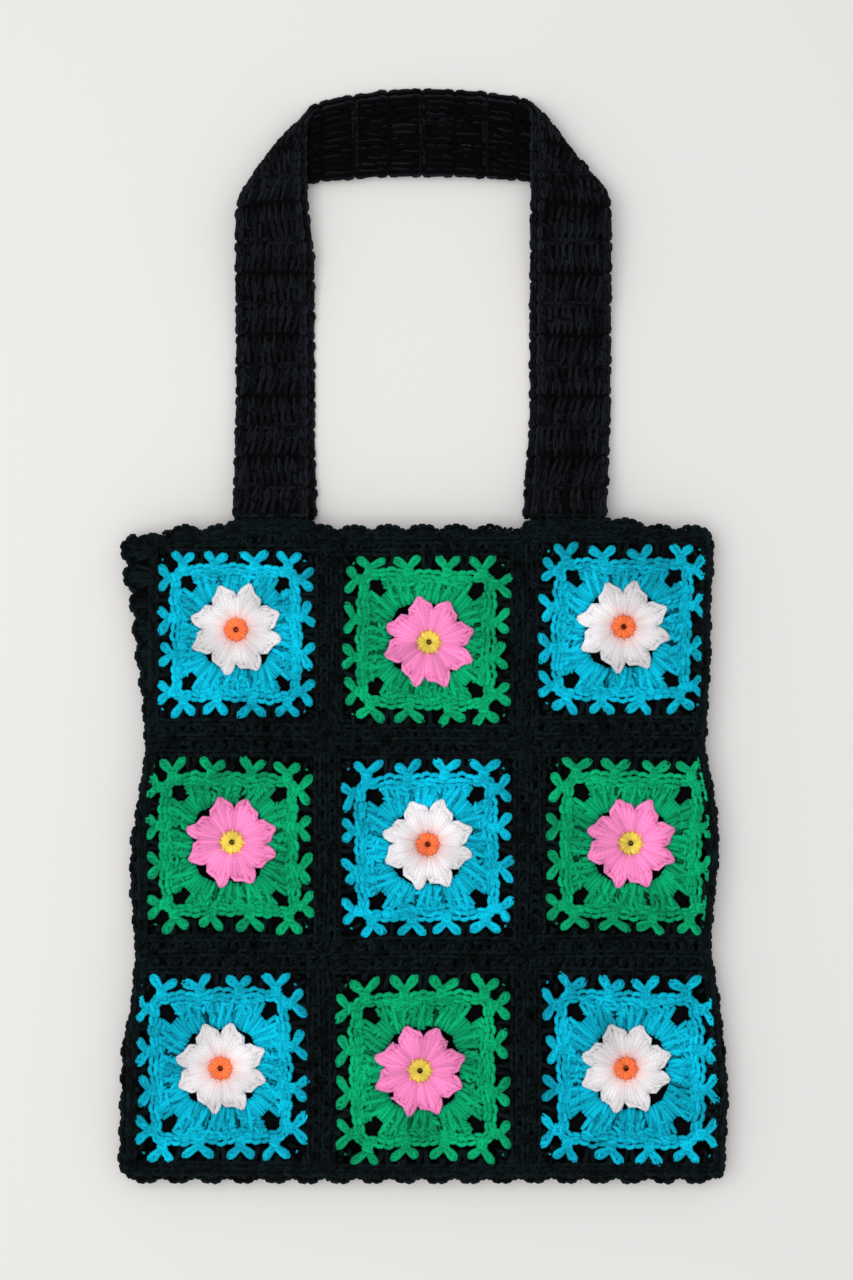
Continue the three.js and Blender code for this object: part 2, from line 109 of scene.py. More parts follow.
class StageSettings(bpy.types.PropertyGroup):
    """The floor, the lights and the camera"""

    floor: colour("Floor", "Colour of the floor", (0.80, 0.793, 0.785))
    height: length("Camera Height", "Height of the camera over the floor", 1.74, 0.2, 10.0)
    aside: length("Camera Aside", "How far the camera stands to the right", 0.004, -1.0, 1.0)
    up: length("Camera Up", "How far the camera stands towards the straps", -0.002, -1.0, 1.0)
    lens: bpy.props.FloatProperty(name="Lens", description="Focal length of the camera", default=85.0,
                                  min=10.0, max=300.0, unit="CAMERA")
    key: bpy.props.FloatProperty(name="Key Light", description="Power of the large soft light", default=11.2,
                                 min=0.0, unit="POWER")
    fill: bpy.props.FloatProperty(name="Fill Light", description="Brightness of the light from all round",
                                  default=0.71, min=0.0)


# the materials


def new_node(tree, kind, place, **values):
    """A node of a tree, with its settings and the values of its named inputs."""
    node = tree.nodes.new(kind)
    node.location = place
    for key, value in values.items():
        if key in node.inputs:
            node.inputs[key].default_value = value
        else:
            setattr(node, key, value)
    return node


def math_node(tree, place, operation, *values, **settings):
    """The result of a Math node. Each value is a number, or the socket that it comes from."""
    node = new_node(tree, "ShaderNodeMath", place, operation=operation, **settings)
    for socket, value in zip(node.inputs, values):
        if isinstance(value, bpy.types.NodeSocket):
            tree.links.new(value, socket)
        else:
            socket.default_value = value
    return node.outputs[0]


def yarn_group():
    """Twisted, slightly fuzzy yarn: a colour with painted shade between its plies, a height for the bump and
    a mask of loose fibres.
    """
    found = bpy.data.node_groups.get("Twisted Yarn")
    if found:
        return found
    group = bpy.data.node_groups.new("Twisted Yarn", "ShaderNodeTree")
    for name, default in (
        ("Yarn Colour", (0.5, 0.5, 0.5, 1)),
        ("Groove Colour", (0.2, 0.2, 0.2, 1)),
        ("Blush Colour", (0.5, 0.5, 0.5, 1)),
        ("Plies", 3.0),
        ("Fuzz Size", 900.0),
        ("Tone Strength", 0.3),
    ):
        kind = "NodeSocketColor" if name.endswith("Colour") else "NodeSocketFloat"
        group.interface.new_socket(name, in_out="INPUT", socket_type=kind).default_value = default
    for name in ("Colour", "Height", "Fuzz"):
        kind = "NodeSocketColor" if name == "Colour" else "NodeSocketFloat"
        group.interface.new_socket(name, in_out="OUTPUT", socket_type=kind)
    link = group.links.new
    entry = new_node(group, "NodeGroupInput", (-1200, 0))
    leave = new_node(group, "NodeGroupOutput", (900, 0))
    # the plies wind round the strand as they run along it
    along = new_node(group, "ShaderNodeUVMap", (-1200, -250), uv_map="Yarn")
    split = new_node(group, "ShaderNodeSeparateXYZ", (-1000, -250))
    link(along.outputs["UV"], split.inputs[0])
    turns = math_node(group, (-800, -150), "ADD", split.outputs["X"], split.outputs["Y"])
    plies = math_node(group, (-620, -150), "MULTIPLY", turns, entry.outputs["Plies"])
    angle = math_node(group, (-440, -150), "MULTIPLY", plies, 2 * math.pi)
    wave = math_node(group, (-260, -150), "COSINE", angle)
    ply = new_node(group, "ShaderNodeMapRange", (-80, -150))
    ply.inputs["From Min"].default_value = -1
    link(wave, ply.inputs["Value"])
    spot = new_node(group, "ShaderNodeTexCoord", (-1200, -550))
    fibres = new_node(group, "ShaderNodeTexNoise", (-800, -450), Detail=3.0, Roughness=0.7)
    link(spot.outputs["Object"], fibres.inputs["Vector"])
    link(entry.outputs["Fuzz Size"], fibres.inputs["Scale"])
    patches = new_node(group, "ShaderNodeTexNoise", (-800, -750), Scale=35.0, Detail=2.0)
    link(spot.outputs["Object"], patches.inputs["Vector"])
    tone = new_node(group, "ShaderNodeAttribute", (-800, -1000), attribute_name="tone")
    blush = new_node(group, "ShaderNodeAttribute", (-800, 200), attribute_name="blush")
    # painted shade between the plies: a mask that is deep between them, softened by the loose fibres
    groove = math_node(group, (120, -150), "MULTIPLY_ADD", ply.outputs[0], 0.55, 0.25)
    blend = math_node(group, (300, -250), "MULTIPLY_ADD", fibres.outputs["Fac"], 0.55, groove, use_clamp=True)
    body = new_node(group, "ShaderNodeMix", (480, 50), data_type="RGBA")
    link(blend, body.inputs["Factor"])
    link(entry.outputs["Groove Colour"], body.inputs[6])
    link(entry.outputs["Yarn Colour"], body.inputs[7])
    # painted light that a flower's eye casts on the strands next to it, strongest where they start
    warm = new_node(group, "ShaderNodeMix", (600, 200), data_type="RGBA")
    link(blush.outputs["Fac"], warm.inputs["Factor"])
    link(body.outputs[2], warm.inputs[6])
    link(entry.outputs["Blush Colour"], warm.inputs[7])
    # each strand is a little lighter or darker than the next at random, and the same value carries painted
    # shade on strands that lie under others and a painted highlight on the strap's edges
    parts = tone.outputs["Fac"], entry.outputs["Tone Strength"], patches.outputs["Fac"]
    light = math_node(group, (480, -350), "MULTIPLY_ADD", *parts)
    value = math_node(group, (620, -350), "ADD", light, 0.5)
    tint = new_node(group, "ShaderNodeHueSaturation", (700, 50))
    link(warm.outputs[2], tint.inputs["Color"])
    link(value, tint.inputs["Value"])
    link(tint.outputs[0], leave.inputs["Colour"])
    height = math_node(group, (480, -550), "MULTIPLY_ADD", fibres.outputs["Fac"], 0.5, ply.outputs[0])
    link(height, leave.inputs["Height"])
    link(fibres.outputs["Fac"], leave.inputs["Fuzz"])
    return group


def start_material(name):
    """A new material with one shader: the material, its node tree and the shader."""
    material = bpy.data.materials.new(name)
    material.use_nodes = True
    tree = material.node_tree
    tree.nodes.clear()
    out = new_node(tree, "ShaderNodeOutputMaterial", (700, 0))
    shader = new_node(tree, "ShaderNodeBsdfPrincipled", (400, 0))
    tree.links.new(shader.outputs[0], out.inputs["Surface"])
    return material, tree, shader


YARN_ROUGHNESS = (0.76, 0.98)  # where the yarn is smooth, and where its fibres stand up


def yarn_material(name, shade, groove, sheen=0.3, bump=0.45, gloss=0.12, tone=0.15, blush=None):
    """Yarn of one colour, darkened between its plies by painted shade and tinted beside an eye by painted
    light from the eye; the settings say how dark the one is and what colour the other.
    """
    found = bpy.data.materials.get(name)
    if found:
        return found
    material, tree, shader = start_material(name)
    yarn = new_node(tree, "ShaderNodeGroup", (0, 0))
    yarn.node_tree = yarn_group()
    yarn.inputs["Yarn Colour"].default_value = (*shade, 1)
    yarn.inputs["Groove Colour"].default_value = (*[part * groove for part in shade], 1)
    yarn.inputs["Blush Colour"].default_value = (*(blush or shade), 1)
    yarn.inputs["Tone Strength"].default_value = tone
    rough = new_node(tree, "ShaderNodeMapRange", (200, -150))
    rough.inputs["To Min"].default_value, rough.inputs["To Max"].default_value = YARN_ROUGHNESS
    relief = new_node(tree, "ShaderNodeBump", (200, -400), Strength=bump, Distance=0.0004)
    link = tree.links.new
    link(yarn.outputs["Colour"], shader.inputs["Base Color"])
    link(yarn.outputs["Fuzz"], rough.inputs["Value"])
    link(rough.outputs[0], shader.inputs["Roughness"])
    link(yarn.outputs["Height"], relief.inputs["Height"])
    link(relief.outputs["Normal"], shader.inputs["Normal"])
    shader.inputs["Sheen Weight"].default_value = sheen
    shader.inputs["Sheen Roughness"].default_value = 0.55
    shader.inputs["Sheen Tint"].default_value = (*[0.03 + 0.97 * part for part in shade], 1)
    shader.inputs["Specular IOR Level"].default_value = gloss
    return material


def cloth_material(name, shade):
    """Plain woven cloth: threads that cross at right angles."""
    material, tree, shader = start_material(name)
    link = tree.links.new
    spot = new_node(tree, "ShaderNodeTexCoord", (-800, 0))
    threads = []
    for place, direction in [(150, "X"), (-150, "Y")]:
        wave = new_node(tree, "ShaderNodeTexWave", (-500, place), Scale=420.0, Distortion=0.6)
        wave.bands_direction = direction
        link(spot.outputs["Object"], wave.inputs["Vector"])
        threads.append(wave)
    weave = new_node(tree, "ShaderNodeMath", (-250, 0), operation="MULTIPLY")
    for wave, socket in zip(threads, weave.inputs):
        link(wave.outputs["Fac"], socket)
    tint = new_node(tree, "ShaderNodeMix", (0, 100), data_type="RGBA")
    tint.inputs[6].default_value = (*[part * 0.6 for part in shade], 1)
    tint.inputs[7].default_value = (*[min(part * 1.5, 1.0) for part in shade], 1)
    relief = new_node(tree, "ShaderNodeBump", (0, -250), Strength=0.4, Distance=0.0003)
    link(weave.outputs[0], tint.inputs["Factor"])
    link(weave.outputs[0], relief.inputs["Height"])
    link(tint.outputs[2], shader.inputs["Base Color"])
    link(relief.outputs["Normal"], shader.inputs["Normal"])
    shader.inputs["Roughness"].default_value = 0.95
    shader.inputs["Specular IOR Level"].default_value = 0.05
    return material


def floor_material(name, shade):
    """Smooth pale studio paper with a faint unevenness."""
    material, tree, shader = start_material(name)
    spot = new_node(tree, "ShaderNodeTexCoord", (-800, 0))
    cloud = new_node(tree, "ShaderNodeTexNoise", (-600, 0), Scale=2.0, Detail=3.0)
    tint = new_node(tree, "ShaderNodeMix", (-300, 0), data_type="RGBA")
    tint.inputs[6].default_value = (*[part * 0.985 for part in shade], 1)
    tint.inputs[7].default_value = (*shade, 1)
    tree.links.new(spot.outputs["Object"], cloud.inputs["Vector"])
    tree.links.new(cloud.outputs["Fac"], tint.inputs["Factor"])
    tree.links.new(tint.outputs[2], shader.inputs["Base Color"])
    shader.inputs["Roughness"].default_value = 0.9
    shader.inputs["Specular IOR Level"].default_value = 0.2
    return material


# the looks of the yarns, for yarn_material, with how dark the painted shade between the plies is and, for
# white, the colour of the painted light that an eye casts on its petals
YARN_LOOKS = {
    ("black", "strap"): dict(groove=0.05, sheen=0.09, bump=1.0, gloss=0.08, tone=0.85),
    ("white",): dict(groove=0.88, sheen=0.2, bump=0.4, tone=0.07, blush=(0.9, 0.6, 0.585)),
    ("pink", "orange", "yellow"): dict(groove=0.85, bump=0.5, tone=0.15),
    ("turquoise", "green"): dict(groove=0.6, bump=0.45, tone=0.24),
}


def yarn_named(name):
    """The material of a yarn, from its colour in the settings."""
    shade = getattr(bpy.context.scene.bag_colours, name)
    looks = next(looks for names, looks in YARN_LOOKS.items() if name in names)
    return yarn_material(f"{name}_yarn", shade, **looks)


# the strands

TEMPLATES = {}  # the tubes made so far, by sides and steps
UP = np.array((0.0, 0.0, 1.0))


def strand_template(sides, steps):
    """A closed tube of radius 1 whose rings stand one apart, and its corners' places round it."""
    if (sides, steps) in TEMPLATES:
        return TEMPLATES[sides, steps]
    tube = bmesh.new()
    bmesh.ops.create_cone(tube, cap_ends=True, segments=sides, radius1=1, radius2=1, depth=steps,
                          matrix=Matrix.Translation((0, 0, steps / 2)))
    upright = [e for e in tube.edges if abs(e.verts[0].co.z - e.verts[1].co.z) > 0.5]
    if steps > 1:
        bmesh.ops.subdivide_edges(tube, edges=upright, cuts=steps - 1)
    bmesh.ops.recalc_face_normals(tube, faces=tube.faces)
    tube.verts.index_update()
    spots = np.array([v.co for v in tube.verts])
    ring = np.rint(spots[:, 2]).astype(int)
    corners, starts, round_, along = [], [], [], []
    for face in tube.faces:
        starts.append(len(corners))
        turns = [math.atan2(v.co.y, v.co.x) / (2 * math.pi) % 1 for v in face.verts]
        cap = len({int(ring[v.index]) for v in face.verts}) == 1
        seam = not cap and max(turns) - min(turns) > 0.5
        for v, turn in zip(face.verts, turns):
            corners.append(v.index)
            round_.append(turn + 1 if seam and turn < 0.5 else turn)
            along.append(int(ring[v.index]))
    tube.free()
    made = {"circle": spots[:, :2], "ring": ring}
    made.update(corners=np.array(corners), starts=np.array(starts))
    made.update(round=np.array(round_), along=np.array(along))
    TEMPLATES[sides, steps] = made
    return made


def smooth(points, steps):
    """Points on the smooth curve through a few evenly spaced ones: (..., few, 3) to (..., steps + 1, 3)."""
    points = np.asarray(points, float)
    few = points.shape[-2]
    knots, places = np.linspace(0, 1, few), np.linspace(0, 1, steps + 1)
    weights = np.ones((steps + 1, few))
    for j in range(few):
        for m in range(few):
            if m != j:
                weights[:, j] *= (places - knots[m]) / (knots[j] - knots[m])
    return np.einsum("ij,...jk->...ik", weights, points)


class Strands:
    """Strands of yarn that become one mesh. Paths are in millimetres."""

    def __init__(self, seed, sides=4, most=3):
        self.chance = np.random.default_rng(seed)
        self.sides, self.most = sides, most
        self.groups = []

    def add(self, paths, radius, steps=4, taper=(0.7, 1, 1, 0.7), tone=0.0, blush=0.0):
        """Strands along paths of shape (count, points, 3), or one path. Each strand gets a random tone, made
        darker by painted shade or lighter by a painted highlight where a tone is given; where they start they
        can take the painted light of a flower's eye.
        """
        steps, sides = min(steps, self.most), self.sides
        paths = np.atleast_3d(np.asarray(paths, float))
        if np.ndim(paths) == 3 and paths.shape[-1] != 3:
            paths = paths.reshape(1, -1, 3)
        paths = smooth(paths, steps) if paths.shape[1] != steps + 1 else paths
        rise = np.interp(np.linspace(0, 1, steps + 1), np.linspace(0, 1, len(taper)), taper)
        tones = tone + self.chance.uniform(-1, 1, len(paths))
        self.groups.append((paths, radius * rise, sides, steps, tones, blush))

    def moved(self, place):
        """Sends every path through a function of points."""
        self.groups = [(place(group[0]), *group[1:]) for group in self.groups]

    def mesh(self, name, material, pitch):
        """One mesh object of all the strands."""
        spots, corners, starts, uvs, tones, eye_bounces = [], [], [], [], [], []
        points, loops = 0, 0
        for paths, radii, sides, steps, tone, blush in self.groups:
            shape = strand_template(sides, steps)
            heading = np.gradient(paths, axis=1)
            heading /= np.linalg.norm(heading, axis=-1, keepdims=True) + 1e-9
            across = np.cross(heading, (0.13, 0.07, 1.0))
            across /= np.linalg.norm(across, axis=-1, keepdims=True) + 1e-9
            upward = np.cross(across, heading)
            ring, circle = shape["ring"], shape["circle"]
            # the template's y goes up and its x the other way across, so its faces stay outward
            offset = upward[:, ring] * circle[:, 1, None] - across[:, ring] * circle[:, 0, None]
            made = paths[:, ring] + offset * radii[ring][None, :, None]
            count, each = made.shape[:2]
            spots.append(made.reshape(-1, 3))
            shift = np.arange(count)[:, None]
            corners.append((shape["corners"][None] + shift * each + points).ravel())
            starts.append((shape["starts"][None] + shift * len(shape["corners"]) + loops).ravel())
            gaps = np.linalg.norm(np.diff(paths, axis=1), axis=-1)
            run = np.concatenate([np.zeros((count, 1)), np.cumsum(gaps, axis=1)], axis=1) * MM / pitch
            run += self.chance.uniform(0, 1, (count, 1))
            uv = np.empty((count, len(shape["corners"]), 2))
            uv[..., 0] = shape["round"]
            uv[..., 1] = run[:, shape["along"]]
            uvs.append(uv.reshape(-1, 2))
            tones.append(np.repeat(tone, each))
            # painted light from the eye, fading out over the first part of each strand
            eye_bounces.append(np.tile(blush * np.clip(1 - 2.2 * ring / steps, 0, 1), count))
            points += count * each
            loops += count * len(shape["corners"])
        mesh = bpy.data.meshes.new(name)
        mesh.vertices.add(points)
        mesh.vertices.foreach_set("co", (np.concatenate(spots) * MM).astype(np.float32).ravel())
        mesh.loops.add(loops)
        mesh.loops.foreach_set("vertex_index", np.concatenate(corners).astype(np.int32))
        starts = np.concatenate(starts).astype(np.int32)
        mesh.polygons.add(len(starts))
        mesh.polygons.foreach_set("loop_start", starts)
        mesh.update(calc_edges=True)
        yarn = mesh.uv_layers.new(name="Yarn")
        yarn.data.foreach_set("uv", np.concatenate(uvs).astype(np.float32).ravel())
        shade = mesh.attributes.new("tone", "FLOAT", "POINT")
        shade.data.foreach_set("value", np.concatenate(tones).astype(np.float32))
        if any(group[5] for group in self.groups):
            warm = mesh.attributes.new("blush", "FLOAT", "POINT")
            warm.data.foreach_set("value", np.concatenate(eye_bounces).astype(np.float32))
        mesh.polygons.foreach_set("use_smooth", np.ones(len(starts), bool))
        mesh.materials.append(material)
        mesh.validate()
        piece = bpy.data.objects.new(name, mesh)
        bpy.context.scene.collection.objects.link(piece)
        return piece


def turned(points, angle):
    """Points turned about the vertical through the origin."""
    c, s = math.cos(angle), math.sin(angle)
    points = np.asarray(points, float)
    out = points.copy()
    out[..., 0] = points[..., 0] * c - points[..., 1] * s
    out[..., 1] = points[..., 0] * s + points[..., 1] * c
    return out


def beside(start, end):
    """The unit directions from start to end and square to it, in the plane."""
    way = np.asarray(end, float) - np.asarray(start, float)
    way = way / (np.linalg.norm(way, axis=-1, keepdims=True) + 1e-9)
    side = np.stack([-way[..., 1], way[..., 0], np.zeros_like(way[..., 0])], -1)
    return way, side


def through(*rows):
    """Paths through rows of points, (count, 3) each."""
    return np.stack(rows, axis=1)


def posts(strands, base, top, radius, spread=0.8, turns=1.0, steps=5, base_share=0.6, wrap=True,
          wrap_at=(0.42, 0.6)):
    """Tall stitches from base to top, (count, 3) each: two strands that turn round each other."""
    base, top = np.atleast_2d(base), np.atleast_2d(top)
    count = len(base)
    share = np.linspace(0, 1, steps + 1)[None, :, None]
    middle = base[:, None] + (top - base)[:, None] * share
    way, side = beside(base, top)
    start = strands.chance.uniform(-0.5, 0.5, (count, 1, 1))
    for turn in (0, math.pi):
        angle = start + turn + math.pi * turns * share
        wide = radius * spread * (base_share + (1 - base_share) * share)
        path = middle + side[:, None] * np.cos(angle) * wide + UP * np.sin(angle) * radius * 0.42
        strands.add(path, radius, steps, taper=(0.75, 1, 1.02, 1, 0.8))
    if wrap:
        place = strands.chance.uniform(*wrap_at, (count, 1))
        centre = base + (top - base) * place
        lean = strands.chance.uniform(0.5, 1.1, (count, 1)) * radius
        path = through(
            centre - side * radius * 1.7 - way * lean + (0, 0, -0.3 * radius),
            centre + (0, 0, 0.95 * radius),
            centre + side * radius * 1.7 + way * lean + (0, 0, -0.3 * radius),
        )
        strands.add(path, radius * 0.8, 3, taper=(0.7, 1, 0.7), tone=-0.3)


def chain(strands, line, radius, pitch, width=1.0, steps=4, lift=0.5, tone=0.0):
    """A row of chain links along a line of points: two strands a link, each tucked under the next."""
    line = np.asarray(line, float)
    run = np.concatenate([[0], np.cumsum(np.linalg.norm(np.diff(line, axis=0), axis=1))])
    count = max(int(round(run[-1] / pitch)), 1)

    def at(share):
        """Points at shares of the line's length."""
        return np.stack([np.interp(share * run[-1], run, line[:, axis]) for axis in range(3)], -1)

    k = np.arange(count)
    start, middle, end = at((k - 0.15) / count), at((k + 0.5) / count), at((k + 1.15) / count)
    start[0], end[-1] = line[0], line[-1]
    side = beside(start, end)[1]
    bend = strands.chance.uniform(0.8, 1.15, (count, 1)) * width * radius
    for sign in (-1, 1):
        path = through(
            start + side * sign * radius * 0.35 + (0, 0, lift * radius),
            middle + side * sign * bend + (0, 0, 0.15 * radius),
            end + side * sign * radius * 0.3 + (0, 0, -lift * radius),
        )
        strands.add(path, radius, steps, taper=(0.75, 1, 0.95, 0.65), tone=tone)


def loops(strands, root, tip, radius, width, steps=4):
    """Short leaf-shaped loops from root to tip: two bowed strands that meet at the end and one across."""
    side = beside(root, tip)[1]
    reach = tip - root
    # all of the loop's strands are darkened a little by painted shade, so the raised loops look no brighter
    # than the square round them
    for sign in (-1, 1):
        path = through(
            root + side * sign * radius * 0.6,
            root + reach * 0.42 + side * sign * width * 0.38 + (0, 0, 0.45 * radius),
            root + reach * 0.72 + side * sign * width * 0.5 + (0, 0, 0.35 * radius),
            tip + side * sign * width * 0.08,
        )
        strands.add(path, radius, steps, taper=(0.85, 0.98, 1.08, 0.62), tone=-0.3)
    hand = strands.chance.choice([-1.0, 1.0], (len(root), 1))
    for start, end in ((0.5, 0.92), (0.2, 0.62)):
        over = through(
            root + reach * start - side * hand * width * 0.52,
            root + reach * (start + end) / 2 + (0, 0, 1.05 * radius),
            root + reach * end + side * hand * width * 0.42,
        )
        strands.add(over, radius * 0.8, steps - 1, taper=(0.7, 1, 0.7), tone=-0.2)
        hand = -hand


def knots(strands, place, low, high, count, radius, lean=90.0, spread=30.0, level=2.3):
    """Short bent strands strewn over a rectangle, most of them near one direction."""
    chance = strands.chance
    middle = chance.uniform(low, high, (count, 2))
    angle = np.radians(lean + chance.normal(0, spread, count))
    way = np.stack([np.cos(angle), np.sin(angle)], -1)
    half = way * chance.uniform(1.8, 3.2, (count, 1))
    bow = np.stack([-way[:, 1], way[:, 0]], -1) * chance.uniform(-0.9, 0.9, (count, 1))
    under, over = np.full((count, 1), level - 0.9), level + chance.uniform(0.0, 0.6, (count, 1))
    ends = [np.hstack([middle + shift, under]) for shift in (-half, half)]
    path = through(ends[0], np.hstack([middle + bow, over]), ends[1])
    strands.add(place(path), radius, 4, taper=(0.6, 1.05, 0.6))


def finish_piece(piece, node):
    """Puts a piece in the place of its CAD node."""
    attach(piece, "root")
    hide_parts(node)


def finish_yarn(strands, node, colour_name):
    """Makes the mesh of a piece of yarn, in the place of its CAD node."""
    piece = strands.mesh(f"{node}_yarn", yarn_named(colour_name), bpy.context.scene.bag_sizes.ply)
    finish_piece(piece, node)


# where the panels lie

KNIT = 3.2  # thickness of a panel's crochet
SIZE = 97.0  # side of an unstretched square, over the tips of its V stitches
RIM_INSIDE = 5.6  # from the crests of the edging in to the squares' outermost strands
# how the nine front squares lie, row by row: moved in x and y (mm), and stretched in x and y
SQUARE_LIES = (
    (1.2, -4.9, 0.975, 0.995), (-0.6, -1.4, 1.025, 1.005), (0.3, -3.2, 1.03, 1.03),
    (0.0, -2.0, 1.0, 0.995), (-0.9, -3.2, 1.018, 0.995), (2.3, -2.0, 1.025, 0.995),
    (0.9, -1.7, 1.0, 1.0), (0.6, -2.6, 1.01, 1.015), (2.3, -2.6, 1.024, 1.005),
)
# and how far each front flower sits from the middle of its square (mm)
FLOWER_LIES = (
    (0.5, 2.6), (1.2, -1.5), (0.3, 0.9),
    (1.7, 2.0), (0.3, 2.0), (-1.1, 1.4),
    (0.3, 0.0), (-1.8, -0.3), (-2.3, 0.9),
)


def box_mm(node):
    """Lowest and highest corner of a CAD node, in millimetres."""
    low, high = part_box(node)
    return np.array(low) / MM, np.array(high) / MM


class Panel:
    """The front or the back of the bag: its squares, its levels and which way is outward."""

    def __init__(self, name):
        self.name = name
        self.out = 1 if name == "front" else -1
        self.boxes = {
            (row, column): box_mm(f"{name}_square_r{row}c{column}") for row in ROWS for column in COLUMNS
        }
        self.base = min(box[0][2] for box in self.boxes.values())
        if self.out > 0:
            for spot, (x, y, wide, tall) in zip(self.boxes, SQUARE_LIES):
                low, high = self.boxes[spot]
                centre = (low + high) / 2 + (x, y, 0)
                half = (high - low) / 2 * (wide, tall, 1)
                self.boxes[spot] = centre - half, centre + half
        self.low, self.high = box_mm(f"{name}_net")

    def strands(self, seed):
        """Strands for one of the panel's pieces: fine ones in front, plain ones on the back."""
        return Strands(seed, *FINE) if self.out > 0 else Strands(seed + 100, *PLAIN)

    def level(self, x, y):
        """Height of the panel's inner face at a place: the front swells towards its middle."""
        if self.out < 0:
            return np.full_like(np.asarray(x, float), self.base + KNIT)
        level = self.base
        for place, middle, reach, swell in ((x, 0, 150, 1.2), (y, -117, 170, 0.8)):
            share = np.clip(1.5 * (1 - np.abs(np.asarray(place, float) - middle) / reach), 0, 1)
            level = level + swell * share * share * (3 - 2 * share)
        return level

    def lay(self, points):
        """Points whose third number is the height over the inner face, put in place."""
        points = np.asarray(points, float).copy()
        lift = points[..., 2]
        if self.out < 0:  # the flowers of the back are pressed flat by the weight of the bag
            lift = np.where(lift > KNIT, KNIT + (lift - KNIT) * 0.5, lift)
        points[..., 2] = self.level(points[..., 0], points[..., 1]) + self.out * lift
        return points

    def on_square(self, row, column, stretch=True):
        """Sends points of an unstretched square, centred on the origin, to its place."""
        low, high = self.boxes[row, column]
        centre, size = (low + high) / 2, high - low
        if self.out > 0 and not stretch:
            centre = centre + (*FLOWER_LIES[(row - 1) * 3 + column - 1], 0)
        swing = np.random.default_rng(row * 7 + column).uniform(0, 6, 4)

        def place(points):
            points = np.asarray(points, float).copy()
            if stretch:  # no square lies quite straight
                u, v = points[..., 0].copy(), points[..., 1].copy()
                points[..., 0] += 0.9 * np.sin(v / 17 + swing[0]) + 0.5 * np.sin(u / 9 + swing[1])
                points[..., 1] += 0.9 * np.sin(u / 17 + swing[2]) + 0.5 * np.sin(v / 9 + swing[3])
            for axis in (0, 1):
                share = size[axis] / SIZE if stretch else 1
                points[..., axis] = points[..., axis] * share + centre[axis]
            x, y = points[..., 0], points[..., 1]
            points[..., 0] = np.clip(x, rim_x(-1, y) + RIM_INSIDE, rim_x(1, y) - RIM_INSIDE)
            return self.lay(points)

        return place


def every_square():
    """Each square of both panels: its panel, row and column."""
    for panel in map(Panel, PANELS):
        for row in ROWS:
            for column in COLUMNS:
                yield panel, row, column


def jitter(strands, points, amount):
    """Points moved a little at random in the plane."""
    points = np.asarray(points, float).copy()
    points[..., :2] += strands.chance.uniform(-amount, amount, points[..., :2].shape)
    return points


# the squares, whose sides are worked as the upper one and then turned round the middle
# posts of a fan: across and up at the foot, across at the head (mm)
MIDDLE_FAN = [(-3.7, 20.8, -5.7), (0.0, 19.6, 0.0), (3.7, 20.8, 5.7)]
CORNER_FAN = [(8.9, 20.4, 13.4), (12.0, 18.8, 18.8), (15.4, 17.2, 24.3)]
FAN_TOP = 33.2
EDGE = 36.4  # from the middle to the chain round the fans
V_PLACES = (-32.4, -11.0, 10.8, 32.2)  # the V stitches along a side
V_REACH = 49.0  # no V stitch ends farther from the middle
V_CORNER = 40.6  # nor farther along its side


def fan_posts():
    """Feet and heads of a side's posts, and of the strands that lie under them."""
    fans = list(MIDDLE_FAN)
    for mirror in (-1, 1):
        fans += [(foot_u * mirror, foot_v, head_u * mirror) for foot_u, foot_v, head_u in CORNER_FAN]
    puff = np.array([-0.3, 0.5, -0.3] * 3)
    base = np.array([(u, v, 1.5) for u, v, _ in fans])
    top = np.array([(u, FAN_TOP, 1.5) for _, _, u in fans])
    base[:, 2] += puff
    top[:, 2] += puff * 0.7
    order = np.argsort(top[:, 0])
    under_base = (base[order][1:] + base[order][:-1]) / 2 + (0, 0.8, -0.9)
    under_top = (top[order][1:] + top[order][:-1]) / 2 + (0, 1.0, -0.9)
    under_base[:, 2] = under_top[:, 2] = 0.6
    return base, top, under_base, under_top


def square_fans(strands, place, radius):
    """The fans of one side, with strands under and between them that are darker with painted shade."""
    base, top, under_base, under_top = fan_posts()
    posts(strands, place(jitter(strands, base, 0.5)), place(jitter(strands, top, 0.6)), radius * 1.22,
          spread=1.1, turns=0.9, steps=6, base_share=0.72, wrap_at=(0.5, 0.8))
    # painted shade: the strands under the fans are darker, those in the gaps between fans nearly black
    between = np.isin(np.arange(len(under_base)), (2, 5))
    backing = through(under_base, (under_base + under_top) / 2, under_top)
    strands.add(place(backing[~between]), radius * 1.25, 3, taper=(0.8, 1, 1), tone=-1.2)
    strands.add(place(backing[between] - (0, 1.2, 0.4)), radius, 3, taper=(0.8, 1, 1), tone=-2.6)
    corner = np.array([[(16.9, 16.9, 1.3), (20.6, 20.9, 1.7), (24.6, 25.0, 1.3)]])
    for shift in (-1.4, 0, 1.4):
        strands.add(place(corner + (shift, -shift, 0)), radius * 1.1, 4, taper=(0.8, 1, 0.8))
    if strands.most > 3:
        knots(strands, place, (-23, 30.5), (23, 34.5), 18, radius * 0.95, lean=0, spread=38, level=2.3)
        knots(strands, place, (-18, 23.5), (18, 30.0), 10, radius * 0.95, lean=90, spread=40, level=2.4)


